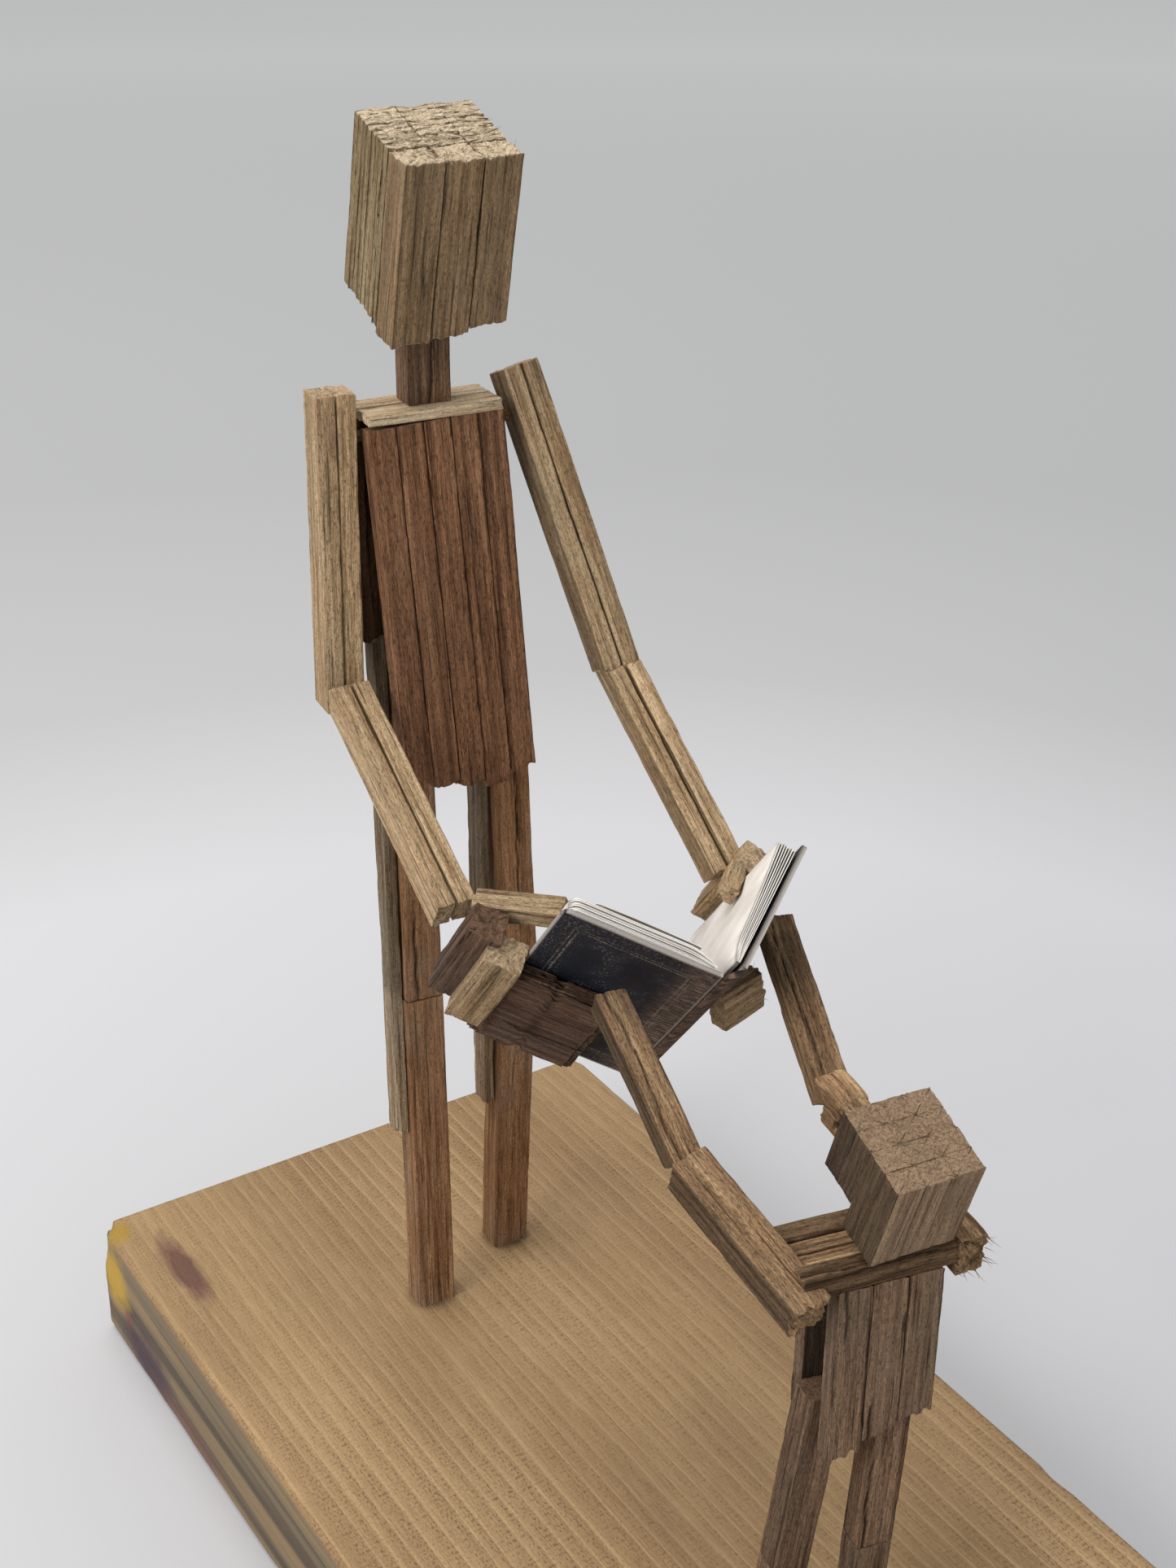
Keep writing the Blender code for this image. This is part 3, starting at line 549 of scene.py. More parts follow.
# The stains by one corner of the board: middle, size, colour and strength
STAINS = (
    ((-45.5, 2.5, 85.5), (2.4, 6.5, 6.5), (186, 146, 40), 0.95),
    ((-43.2, 9.4, 86.5), (2.4, 1.8, 3.6), (160, 128, 44), 0.9),
    ((-45.5, -3.0, 80.5), (2.2, 2.2, 1.6), (150, 66, 44), 0.8),
    ((-45.5, -5.5, 73.5), (2.2, 5.4, 12.0), (64, 44, 56), 0.9),
    ((-45.5, -7.5, 57.0), (2.0, 3.6, 15.0), (104, 66, 60), 0.6),
    ((-38.0, 10.0, 72.5), (2.5, 2.0, 10.5), (96, 62, 52), 0.9),
)


def pine_look(name):
    """A planed pine board: growth rings, planer ripples, flecks, grey sides and stains by one corner."""
    s = Shader(name)
    at = s.value("grain", vector=True)
    parts = s.node("ShaderNodeSeparateXYZ", Vector=at)
    x, y, _ = parts.outputs
    sway = s.noise(at, (0.05, 0.05, 0.006))
    across = s.plus(x, s.times(y, 0.35))
    across = s.plus(across, s.times(sway, 5.0))
    jitter = s.noise(s.vector("MULTIPLY", at, (0.24, 0.08, 0.002)), (1.0, 1.0, 1.0), 1.0)
    year = s.maths("FRACT", s.plus(s.times(across, 0.40), s.times(jitter, 1.6)))
    late = s.times(s.between(year, 0.25, 0.8), s.between(year, 1.0, 0.8))
    fine = s.noise(at, (3.6, 3.6, 0.16), 4.0, 0.7)
    broad = s.noise(at, (0.05, 0.08, 0.012))
    dashes = s.noise(at, (3.4, 3.4, 1.7), 3.0, 0.65)
    tan = s.ramp(s.plus(s.times(fine, 0.5), s.times(broad, 0.5)), 0.36, 0.64, (0.0, (134, 106, 71)),
                 (0.5, (154, 125, 87)), (1.0, (174, 144, 103)))
    plain = s.between(s.noise(at, (0.03, 0.03, 0.01), 1.0), 0.35, 0.6, 0.35, 1.0)
    colour = s.paint(tan, s.times(late, 0.2), plain, (122, 88, 52))
    colour = s.paint(colour, s.times(s.between(year, 0.2, 0.05), 0.42), plain, (196, 166, 122))
    ripple = s.node("ShaderNodeTexWave", Scale=1.0, Distortion=6.0, Detail=2.0)
    ripple.bands_direction = "Z"
    s.put(ripple.inputs["Vector"], s.vector("MULTIPLY", at, (0.18, 0.18, 0.36)))
    ticks = s.times(s.between(dashes, 0.5, 0.6), s.between(ripple.outputs["Fac"], 0.0, 0.8, 0.35, 1.0))
    ticks = s.times(ticks, s.between(late, 0.0, 0.8, 0.45, 1.0))
    colour = s.paint(colour, s.times(ticks, plain), 0.85, (104, 74, 44))
    dots = s.between(s.noise(at, (0.9, 0.9, 0.9), 1.0), 0.79, 0.82)
    colour = s.paint(colour, dots, 0.7, (70, 52, 36))
    # The sawn sides have greyed in bands along the board.
    side = s.times(s.between(y, 9.6, 8.2), s.between(s.maths("ABSOLUTE", x), 43.8, 44.5))
    strata = s.noise(at, (0.0, 0.2, 0.004), 3.0)
    greys = s.ramp(strata, 0.38, 0.62, (0.0, (52, 38, 31)), (0.35, (80, 67, 50)), (0.65, (110, 96, 72)),
                   (1.0, (140, 114, 78)))
    colour = s.mix(s.times(side, 0.92), colour, greys)
    for centre, size, tint, most in STAINS:
        away = s.vector("DIVIDE", s.vector("SUBTRACT", at, centre), size)
        edge = s.plus(s.vector("LENGTH", away), s.times(s.noise(at, (0.5, 0.5, 0.2), 4.0), 0.9))
        colour = s.paint(colour, s.between(edge, 1.55, 0.95), most, tint)
    # Painted shade: the shadow round each foot and the shade in the chipped corner
    colour = s.paint(colour, s.value("painted_shade"), 0.85, (58, 40, 28), clamp=True)
    rough = s.between(fine, 0.3, 0.7, 0.68, 0.5)
    height = s.minus(fine, s.plus(s.times(late, 0.3), s.times(ticks, 0.4)))
    return s.finish(colour, rough, height, 0.12, 0.35)


# The double rule on a cover: how far in from the edges each line is, and half its breadth
COVER_RULES = ((2.5, 0.09), (3.05, 0.16))


def cover_look(name, wide, tall):
    """Near-black board: scuffed edges, a faint sheen and a double rule set in from the edges."""
    s = Shader(name)
    at = s.value("grain", vector=True)
    parts = s.node("ShaderNodeSeparateXYZ", Vector=at)
    x, _, z = parts.outputs
    fine = s.noise(at, (3.0, 3.0, 3.0), 6.0, 0.7)
    broad = s.noise(at, (0.16, 0.5, 0.16), 3.0)
    navy = s.ramp(broad, 0.3, 0.7, (0.0, (12, 15, 23)), (0.6, (22, 26, 36)), (1.0, (36, 34, 37)))
    inset = s.maths("MINIMUM", s.maths("MINIMUM", x, s.minus(wide, x)),
                    s.maths("MINIMUM", s.times(z, -1.0), s.plus(z, tall)))
    rules = 0.0
    for at_inset, half in COVER_RULES:
        near = s.maths("ABSOLUTE", s.minus(inset, at_inset))
        rules = s.maths("MAXIMUM", rules, s.between(near, half, half * 0.4))
    worn_off = s.between(s.noise(at, (0.22, 0.22, 0.22), 2.0), 0.3, 0.5)
    rules = s.times(s.times(rules, s.between(fine, 0.42, 0.58)), worn_off)
    # The cloth of the spine laps on to the board as a brown ribbed band.
    ribs = s.noise(at, (0.5, 0.5, 4.2), 3.0)
    cloth = s.ramp(ribs, 0.38, 0.62, (0.0, (44, 35, 33)), (0.6, (84, 68, 60)), (1.0, (126, 106, 92)))
    navy = s.mix(s.between(s.plus(x, s.times(broad, 3.0)), 6.6, 3.6, 0.0, 0.85), navy, cloth)
    colour = s.paint(navy, rules, 0.6, (150, 138, 122))
    rubs = s.between(s.noise(at, (0.3, 0.3, 0.3), 3.0), 0.5, 0.62)
    scuff = s.times(s.between(fine, 0.52, 0.66), s.maths("MAXIMUM", s.between(inset, 5.0, 0.3), rubs))
    colour = s.paint(colour, scuff, 0.7, (128, 118, 108))
    specks = s.between(s.noise(at, (5.0, 5.0, 5.0), 3.0), 0.66, 0.72)
    colour = s.paint(colour, specks, 0.5, (110, 102, 96))
    rim = s.between(inset, 0.32, 0.1)
    colour = s.paint(colour, rim, 0.75, (176, 168, 160))
    rough = s.between(fine, 0.3, 0.7, 0.5, 0.75)
    return s.finish(colour, rough, fine, 0.08, 0.22)


def spine_look(name):
    """Worn brown cloth, ribbed across."""
    s = Shader(name)
    at = s.value("grain", vector=True)
    fine = s.noise(at, (2.2, 2.2, 2.2), 5.0, 0.7)
    threads = s.noise(at, (0.6, 0.6, 5.0))
    cloth = s.ramp(threads, 0.36, 0.66, (0.0, (40, 30, 27)), (0.5, (78, 60, 50)), (1.0, (140, 112, 92)))
    colour = s.paint(cloth, s.between(fine, 0.5, 0.7), 0.5, (34, 30, 34))
    return s.finish(colour, s.between(fine, 0.3, 0.7, 0.6, 0.85), s.plus(fine, threads), 0.12)


def paper_look(name):
    """Soft white paper, a little yellowed."""
    s = Shader(name)
    at = s.value("grain", vector=True)
    fine = s.noise(at, (4.0, 4.0, 4.0), 5.0, 0.7)
    broad = s.noise(at, (0.12, 2.0, 0.12))
    paper = s.ramp(broad, 0.35, 0.65, (0.0, (214, 206, 196)), (1.0, (238, 234, 228)))
    colour = s.paint(paper, s.between(fine, 0.5, 0.75), 0.22, (176, 164, 156))
    # Shade painted where a sheet carries any
    colour = s.paint(colour, s.value("painted_shade"), 0.6, (120, 100, 92), clamp=True)
    colour = s.scaled(colour, s.plus(1.0, s.times(s.value("tone"), 0.3)))
    return s.finish(colour, s.between(fine, 0.3, 0.7, 0.8, 0.95), fine, 0.05, 0.2)


# Each wood's dark, middle, light, cut and greyed colours, how greyed it is and how much it is flecked
WOOD_COLOURS = {
    "leg_wood": ((122, 86, 56), (159, 116, 80), (191, 148, 109), (163, 126, 93), (150, 135, 119), 0.35, 0.45),
    "splint_wood": ((135, 109, 82), (181, 154, 122), (218, 196, 164), (204, 174, 137),
                    (180, 168, 150), 0.35, 0.5),
    "dark_weathered_wood": ((101, 67, 45), (148, 104, 74), (186, 139, 102), (170, 133, 100),
                            (127, 100, 78), 0.25, 0.6),
    "shoulder_bar_wood": ((177, 145, 113), (234, 203, 164), (255, 243, 206), (255, 224, 182),
                          (120, 112, 100), 0.2, 0.4),
    "neck_wood": ((79, 59, 43), (119, 90, 66), (151, 117, 86), (182, 144, 109), (120, 112, 100), 0.25, 0.5),
    "head_face_wood": ((124, 97, 69), (168, 137, 101), (198, 163, 125), (255, 228, 192),
                       (144, 127, 100), 0.35, 0.45),
    "head_rear_wood": ((118, 96, 67), (158, 135, 99), (191, 168, 130), (255, 230, 194),
                       (153, 141, 111), 0.35, 0.5),
    "pale_arm_wood": ((156, 124, 88), (207, 173, 132), (240, 210, 170), (231, 199, 159),
                      (193, 175, 141), 0.35, 0.55),
    "dark_hand_wood": ((60, 43, 34), (97, 72, 58), (132, 104, 85), (130, 100, 78), (109, 97, 85), 0.4, 0.4),
    "small_figure_wood": ((90, 67, 51), (134, 106, 83), (168, 136, 109), (170, 136, 105),
                          (136, 120, 99), 0.45, 0.5),
    "small_head_wood": ((108, 84, 65), (145, 119, 94), (174, 145, 116), (176, 147, 118),
                        (145, 127, 102), 0.4, 0.4),
    "small_arm_wood": ((102, 77, 54), (158, 124, 91), (209, 173, 131), (191, 154, 114),
                       (135, 116, 91), 0.35, 0.6),
    "dowel_wood": ((140, 104, 68), (176, 138, 96), (200, 164, 122), (196, 164, 124),
                   (120, 112, 100), 0.25, 0.5),
}
WOODS = {name: wood_look(name, *colours) for name, colours in WOOD_COLOURS.items()}


# ---------------------------------------------------------------- sticks

def seed_of(name):
    """The same number for the same name on every run."""
    return sum((k + 3) * ord(letter) for k, letter in enumerate(name)) % 9973


def in_wood(node, slot, shape, grain_along=None):
    """The wood in place of one CAD node. The function shape adds its sticks."""
    at = Squared(node, grain_along)
    shell = Shell()
    shape(shell, at, seed_of(node))
    shell.build(node + "_wood", at.place(), WOODS[slot], node, slot)


def wood_piece(node, slot, wood, extra=None, grow=(0, 0), reach=(0, 0), **more):
    """One weathered stick in place of one squared CAD node, grown to meet the sticks that it is glued to."""
    def shape(shell, at, seed):
        stick(shell, at.wide + grow[0], at.deep + grow[1], at.low - reach[0], at.high + reach[1], seed, wood,
              slopes=at.slopes, **more)
        if extra:
            extra(shell, at, seed)
    in_wood(node, slot, shape)


def end_fibres(count, end, length, spread=0.8, tone=0.0):
    """Splinters standing round the rim of one end (0 low, 1 high)."""
    def add(shell, at, seed):
        rng = np.random.default_rng(seed + 11)
        xy, out, _ = ring(at.wide, at.deep, 0.3, RING_STEP)
        sign = (-1, 1)[end]
        splinters = []
        for k in rng.integers(0, len(xy), count):
            x, y = xy[k] * rng.uniform(0.8, 0.98)
            level = (at.low, at.high)[end] + x * at.slopes[2 * end] + y * at.slopes[2 * end + 1]
            way = (*(out[k] * rng.uniform(0.0, spread) + rng.normal(0, 0.15, 2)), sign)
            splinters.append((np.array((x, y, level - sign * 0.35)), way, rng.uniform(0.4, 1.0) * length))
        fibres(shell, splinters, SPLINTER, seed, tone)
    return add


def bundle(node, slot, wood, columns, layers, grain_along=None, spread=0.25, frays=(0.2, 0.2), jog=0.25,
           gap=0.0, extra=None, tone=0.0, grow=(0, 0), reach=(0, 0), sides=UNSHADED_SIDES, lows=None):
    """Glued sticks side by side in place of one block. Their tones spread and their ends jog at random.

    Lows says how far each layer's bottom is above the block's.
    """
    def shape(shell, at, seed):
        rng = np.random.default_rng(seed)
        full_wide, full_deep = at.wide + grow[0], at.deep + grow[1]
        wide, deep = full_wide / columns, full_deep / layers
        for c, r in np.ndindex(columns, layers):
            x = (c + 0.5) * wide - full_wide / 2
            y = (r + 0.5) * deep - full_deep / 2
            if lows:
                low = at.points[:, 2].min() + rng.uniform(0, jog) - reach[0] + lows[r]
                slopes = (0, 0, *at.slopes[2:])
            else:
                low = at.low + x * at.slopes[0] + y * at.slopes[1] + rng.uniform(0, jog) - reach[0]
                slopes = at.slopes
            high = at.high + x * at.slopes[2] + y * at.slopes[3] - rng.uniform(0, jog) + reach[1]
            # Only the outer faces of the block get the light or shade painted on its sides
            outer = np.array(sides) * (c == 0, c == columns - 1, r == 0, r == layers - 1)
            stick(shell, wide - gap, deep - gap, low, high, seed + 17 * c + 5 * r, wood,
                  tone + rng.uniform(-1, 1) * spread, (x, y), slopes, frays, sides=outer)
        if extra:
            extra(shell, at, seed)
    in_wood(node, slot, shape, grain_along)


def rod(shell, thick, low, high, seed, tone=0.0):
    """A whittled round peg."""
    plain = Wood(groove=0.04, broad=0.04, chip=0.0, fray=0.08, cracks=0, corner=thick / 2)
    stick(shell, thick, thick, low, high, seed, plain, tone)


# The kinds of stick
LEG = Wood(groove=0.12, broad=0.12, chip=0.2, fray=0.12, cracks=3, crack=0.4, bow=0.12)
SLAT = Wood(groove=0.14, broad=0.06, chip=0.12, fray=0.9, cracks=4, corner=0.08)
ARM = Wood(groove=0.13, fray=0.3, cracks=1, crack=0.35, bow=0.05, corner=0.2)
HAND = Wood(groove=0.16, broad=0.14, chip=0.35, fray=0.4, corner=0.25)
FINGER = Wood(groove=0.26, broad=0.2, chip=0.3, fray=0.9, cracks=1, corner=0.16)
HEAD = Wood(groove=0.16, chip=0.16, fray=0.35, crack=0.35, corner=0.05, pit_shade=0.25)
BLOCK = Wood(broad=0.08, chip=0.1, fray=0.2, cracks=0, corner=0.06, pit_shade=0.4)

# How much broader a stick is than its CAD node where it is glued to the next one
GLUED = 0.26
# How thick a splinter is, at the rim of an end and lying on a sawn top
SPLINTER = 0.055
TOP_SPLINTER = 0.075
# The splints: how much darker they are above the knee, and how far they rise beyond their CAD nodes
SPLINT_DARK = -1.2
SPLINT_RISES = {"right": 2.2, "left": 0.0}


def knee_level(side):
    """How far along its splint a knee of the tall figure is."""
    thigh, splint = Squared(f"tall_{side}_thigh"), Squared(f"tall_{side}_splint")
    knee = thigh.origin + thigh.turn[:, 2] * thigh.low
    return (knee - splint.origin) @ splint.turn[:, 2]


def legs():
    # The legs have light painted on their -X sides
    for side, thigh_tone, shin_tone in (("right", 0.0, 0.25), ("left", 0.35, 0.45)):
        wood_piece(f"tall_{side}_thigh", "leg_wood", LEG, tone=thigh_tone, sides=(0.35, 0, 0, 0),
                   grow=(-0.25, 0), reach=(0.12, 0))
        wood_piece(f"tall_{side}_shin", "leg_wood", LEG, tone=shin_tone, sides=(0.4, 0, 0, 0), reach=(0, 0.1))
        wood_piece(f"tall_{side}_splint", "splint_wood", ARM, frays=(1.2, 0.5), shift=(0.3, 0), grow=(0.2, 0.3),
                   reach=(0, SPLINT_RISES[side]), above=(knee_level(side), SPLINT_DARK))
    for side, thigh_tone in (("left", -0.3), ("right", 0.5)):
        wood_piece(f"small_{side}_thigh", "small_figure_wood", LEG, tone=thigh_tone, sides=(0.3, 0, 0, 0),
                   reach=(0.1, 0))
        wood_piece(f"small_{side}_shin", "small_figure_wood", LEG, tone=-0.05, sides=(0.3, 0, 0, 0),
                   reach=(0, 0.1))


def tall_body():
    # The chest slats have light painted on their -X sides, and the back board has shade painted on its -X and
    # -Y sides
    for k, tone in enumerate((-0.12, 0.08, -0.05, 0.1, -0.08)):
        wood_piece(f"tall_chest_slat_{k + 1}", "dark_weathered_wood", SLAT, frays=(1.1, 0.1), tone=tone,
                   grow=(GLUED, 0), reach=(0.5, 0.3), sides=(0.3, 0, 0, 0))
    bundle("tall_back_board", "dark_weathered_wood", SLAT, 5, 1, frays=(0.8, 0.1), sides=(-0.6, 0, -1.4, 0))
    for side in ("front", "back"):
        wood_piece(f"tall_shoulder_bar_{side}", "shoulder_bar_wood", ARM, frays=(0.3, 0.3), grow=(0.1, 0.2),
                   tone=0.25)
    in_wood("tall_shoulder_dowel", "dowel_wood",
            lambda shell, at, seed: rod(shell, at.wide, at.low, at.high, seed_of("dowel"), tone=-1.2))


def tenon(thick):
    """A round end whittled on top of a neck."""
    def add(shell, at, seed):
        rod(shell, thick, at.high - 0.5, at.points[:, 2].max(), seed + 3)
    return add


def necks():
    # The tall neck has light painted on its -X side
    wood_piece("tall_neck", "neck_wood", HEAD, frays=(0.1, 0.1), seams=(0.66,), extra=tenon(1.8),
               sides=(1.3, 0, 0, 0), grow=(0.9, 0), shift=(-0.45, 0), reach=(0.25, 0.2))
    wood_piece("small_neck", "small_figure_wood", HEAD, frays=(0.1, 0.1), extra=tenon(1.6), tone=-0.4)


def top_fuzz(count, length):
    """Torn fibres lying over and standing round a sawn top."""
    standing = end_fibres(count // 3, 1, length, spread=1.2, tone=0.25)

    def add(shell, at, seed):
        standing(shell, at, seed)
        rng = np.random.default_rng(seed + 29)
        splinters = []
        for _ in range(count):
            x, y = rng.uniform(-0.46, 0.46, 2) * (at.wide, at.deep)
            way = (*rng.normal(0, 1, 2), rng.uniform(0.1, 0.5))
            splinters.append((np.array((x, y, at.high - 0.25)), way, rng.uniform(0.4, 1.0) * length))
        fibres(shell, splinters, TOP_SPLINTER, seed + 31, 0.1)
    return add


def tall_head():
    # The right face strip has light painted on its -X and +Y sides
    for side, tone, sides in (("right", -0.1, (0.1, 0, 0, 0.3)), ("middle", 0.05, UNSHADED_SIDES), ("left", 0.0, UNSHADED_SIDES)):
        wood_piece(f"tall_head_face_{side}", "head_face_wood", HEAD, frays=(0.5, 0.45), tone=tone,
                   sides=sides, extra=top_fuzz(60, 1.1), grow=(GLUED, 0.1))
    bundle("tall_head_rear_block", "head_rear_wood", HEAD, 3, 8, frays=(0.5, 0.4), jog=0.1, spread=0.35,
           gap=-0.16, grow=(0.1, 0.3), reach=(0, 0.2), lows=(0.3, 0.8, 1.1, 1.3, 1.4, 1.6, 1.6, 1.9),
           extra=top_fuzz(220, 1.2))


# The strips of the tall figure's arms: the arm, the strip, the light or shade painted on its sides, the tones
# of its upper arm and its forearm, and how far the forearm reaches beyond its CAD node
ARM_STRIPS = (
    ("right", "inner", (0, -0.6, 0, 0), 0.35, 0.05, (0.0, 1.8)),
    ("right", "outer", (0.1, 0, 0, 0), 0.05, -0.05, (0.0, 1.8)),
    ("left", "inner", (-1.3, 0, 0, 0), 0.05, 0.45, (2.2, 1.4)),
    ("left", "outer", (-0.9, 0, 0, 0), 0.05, 0.4, (2.2, 1.4)),
)


def tall_arms():
    for side, strip, sides, upper_tone, fore_tone, fore_reach in ARM_STRIPS:
        wood_piece(f"tall_{side}_upper_arm_{strip}", "pale_arm_wood", ARM, frays=(0.6, 0.3), sides=sides,
                   tone=upper_tone, grow=(GLUED, 0.3), reach=(1.9, 0))
        wood_piece(f"tall_{side}_forearm_{strip}", "pale_arm_wood", ARM, frays=(0.4, 0.4), sides=sides,
                   tone=fore_tone, grow=(GLUED - 0.3, 0), reach=fore_reach)


def cross_cut(shell, at, seed):
    """A shallow saw line across the finger block, a little beyond mid-length, with shade painted down in it."""
    middle = (at.low + at.high) / 2 + 0.6
    for points, values in zip(shell.points, shell.values):
        near = nearness(np.abs(points[:, 2] - middle - 0.12 * np.sin(points[:, 0])), 0.45)
        # Shade painted in the saw line
        values[:, 0] = np.maximum(values[:, 0], 0.8 * near)
        points[:, 1] *= 1 - 0.16 * near


def hands():
    wood_piece("tall_right_hand_back", "dark_hand_wood", HAND, seams=(0.5,), tone=0.5, grow=(1.2, 0.6),
               reach=(0.3, 0.6))
    wood_piece("tall_right_palm", "pale_arm_wood", HAND, tone=-0.35, grow=(1.6, 0.8), reach=(0.5, 0.3),
               shift=(-0.3, 0))
    # The right thumb has shade painted on its -Y and +Y sides
    wood_piece("tall_right_thumb", "pale_arm_wood", HAND, tone=0.1, grow=(0.4, 0.2), reach=(1.0, 0.4),
               sides=(0, 0, -0.6, -0.6))
    bundle("tall_right_fingers", "dark_hand_wood", FINGER, 11, 1, Squared("book_near_cover").turn[:, 0],
           spread=0.9, frays=(0.3, 1.3), jog=1.9, gap=0.1, extra=cross_cut, reach=(0.9, 1.6), tone=0.25)
    wood_piece("tall_left_palm", "pale_arm_wood", HAND, grow=(0.8, 0.8), reach=(0.3, 1.2), tone=0.1)
    wood_piece("tall_left_thumb", "pale_arm_wood", HAND, tone=0.2)
    wood_piece("tall_left_fingers", "pale_arm_wood", HAND, frays=(0.2, 1.0), reach=(0.3, 0.5),
               extra=end_fibres(10, 1, 1.3))


# The sticks across the small figure's shoulders, from its back to its front. Each has its middle and its
# width as shares of the bar's width, how far it stands above the bar and past its ends, its tone and its kind.
SHOULDERS = (
    (-0.37, 0.28, 0.4, 0.3, -1.1, HAND),
    (-0.13, 0.22, -0.1, 0.5, 0.7, ARM),
    (0.09, 0.22, 0.1, 0.8, 0.4, ARM),
    (0.34, 0.30, 0.6, 1.3, -1.0, HAND),
)


def small_shoulders(shell, at, seed):
    """The sticks across the shoulders and the round pegs that the arms turn on."""
    for k, (spot, wide, rise, out, tone, kind) in enumerate(SHOULDERS):
        stick(shell, wide * at.wide, at.deep + rise, at.low - out, at.high + out, seed + k, kind, tone,
              (spot * at.wide, rise / 2), frays=(0.5, 0.5))
    rod(shell, 1.8, at.points[:, 2].min(), at.low + 0.5, seed + 1, tone=-1.0)
    rod(shell, 1.8, at.high - 0.5, at.points[:, 2].max(), seed + 2, tone=-1.0)


def small_body():
    # The back slats have light painted on their -X sides, the front board shade on its -X and -Y sides, and the
    # head halves shade on their -X sides and light on their -Y sides
    for k, tone in enumerate((0.3, 0.4, 0.35)):
        wood_piece(f"small_back_slat_{k + 1}", "small_figure_wood", SLAT, frays=(1.0, 0.2), tone=tone,
                   seams=(0.86,), grow=(GLUED, 0), reach=(0.3, 0.2), sides=(0.2, 0, 0, 0))
    bundle("small_front_board", "small_figure_wood", SLAT, 4, 1, frays=(0.8, 0.2), sides=(-0.4, 0, -2.2, 0))
    in_wood("small_shoulder_bar", "small_arm_wood", small_shoulders)
    for half in ("rear", "front"):
        bundle(f"small_head_{half}_half", "small_head_wood", BLOCK, 3, 2, spread=0.15, jog=0.18, gap=-0.2,
               tone=0.3, grow=(0, GLUED), sides=(-2.0, 0, 0.4, 0))


def torn_elbow(shell, at, seed):
    """The splintered shoulder end, and the pale broken end that laps over the elbow with a knob beside it."""
    end_fibres(26, 0, 2.0)(shell, at, seed)
    lap = Wood(groove=0.16, broad=0.25, chip=0.3, fray=0.6, cracks=1, crack=0.5, bow=0.3, corner=0.5)
    stick(shell, 4.4, 2.6, at.high - 3.4, at.high + 2.2, seed + 41, lap, 0.9, (0.2, -1.5))
    stick(shell, 1.8, 1.8, at.high - 4.2, at.high - 1.4, seed + 43, lap, -0.6, (-2.4, -0.6))


def small_arms():
    # Each stick here runs from its shoulder or its elbow, so its low end is the one nearer the body.
    # The left arm has shade painted on its -X sides, and the upper arm light on its -Y and +Y sides
    wood_piece("small_left_upper_arm", "small_arm_wood", ARM, frays=(1.3, 0.6), tone=0.3,
               sides=(-1.9, 0, 0.1, 0.2), reach=(0.8, 0.4), extra=end_fibres(16, 0, 1.6))
    wood_piece("small_left_forearm", "small_arm_wood", ARM, frays=(0.6, 0.3), tone=-0.15, seams=(0.6,),
               sides=(-1.6, 0, 0, 0), grow=(0.2, 0), reach=(2.2, 0.4))
    wood_piece("small_right_upper_arm", "small_arm_wood", HAND, frays=(0.9, 0.4), extra=torn_elbow)
    wood_piece("small_right_forearm", "small_arm_wood", ARM, tone=-0.35, seams=(0.6,), reach=(2.8, 0))


# ---------------------------------------------------------------- book

def slab(shell, x, top, bottom, low, high, radius, rows, grain_shift=(0, 0, 0), tone=0.0, wave=None):
    """A thin closed sheet: its X from low to high, its top and bottom levels, and its two ends along Z.

    The corners at its last X are rounded to this radius.
    """
    over = np.clip(x - (x[-1] - radius), 0, radius)
    cut = radius - np.sqrt(np.maximum(radius ** 2 - over ** 2, 0))
    across = np.concatenate((x, x[::-1]))
    level = np.concatenate((top, bottom[::-1]))
    low, high = (np.concatenate((end, end[::-1])) for end in (low + cut, high - cut))
    share = np.linspace(0, 1, rows)[:, None]
    z = low[None] * (1 - share) + high[None] * share
    across, level = (np.broadcast_to(line[None], z.shape) for line in (across, level))
    points = np.stack((across, level, z), axis=-1).astype(float)
    if wave is not None:
        points[..., 1] += wave(across, z)
    around = 2 * len(x)
    k = np.arange(len(x) - 1)
    first = np.stack((k, around - 1 - k, around - 2 - k, k + 1), axis=-1)
    last = (first + (rows - 1) * around)[:, ::-1]
    faces = [tube_faces(rows, around)[:, ::-1], first, last]
    shell.add(points, faces, points + np.array(grain_shift), tone=tone)


class Half:
    """One half of the book: X runs from the hinge to the fore-edge, Y inwards, Z up."""

    def __init__(self, node):
        at = Squared(node)
        spine = np.array(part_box("book_spine")[0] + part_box("book_spine")[1]) / 2 / MM
        tall = at.turn[:, 2]
        middle = at.origin + tall * (at.low + at.high) / 2
        out = at.turn[:, 0] if (middle - spine) @ at.turn[:, 0] > 0 else -at.turn[:, 0]
        toward = np.array(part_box("book_near_pages")[0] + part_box("book_far_pages")[1]) / 2 / MM
        inward = at.turn[:, 1] if (toward - middle) @ at.turn[:, 1] > 0 else -at.turn[:, 1]
        self.axes = np.stack((out, inward, tall), axis=1)
        self.wide, self.tall = at.wide, at.high - at.low
        self.origin = middle - out * at.wide / 2 + tall * self.tall / 2 - inward * at.deep / 2
        self.flip = np.dot(np.cross(out, inward), tall) < 0

    def measure(self, node):
        """The box of a CAD node in this half's frame."""
        local = (cad_points(node) - self.origin) @ self.axes
        return local.min(axis=0), local.max(axis=0)

    def build(self, shell, name, look, node, slot):
        """Builds a book part; a left-handed half needs its faces turned round."""
        if self.flip:
            shell.faces = [face[::-1] for face in shell.faces]
        shell.build(name, placed(self.axes, self.origin), look, node, slot)


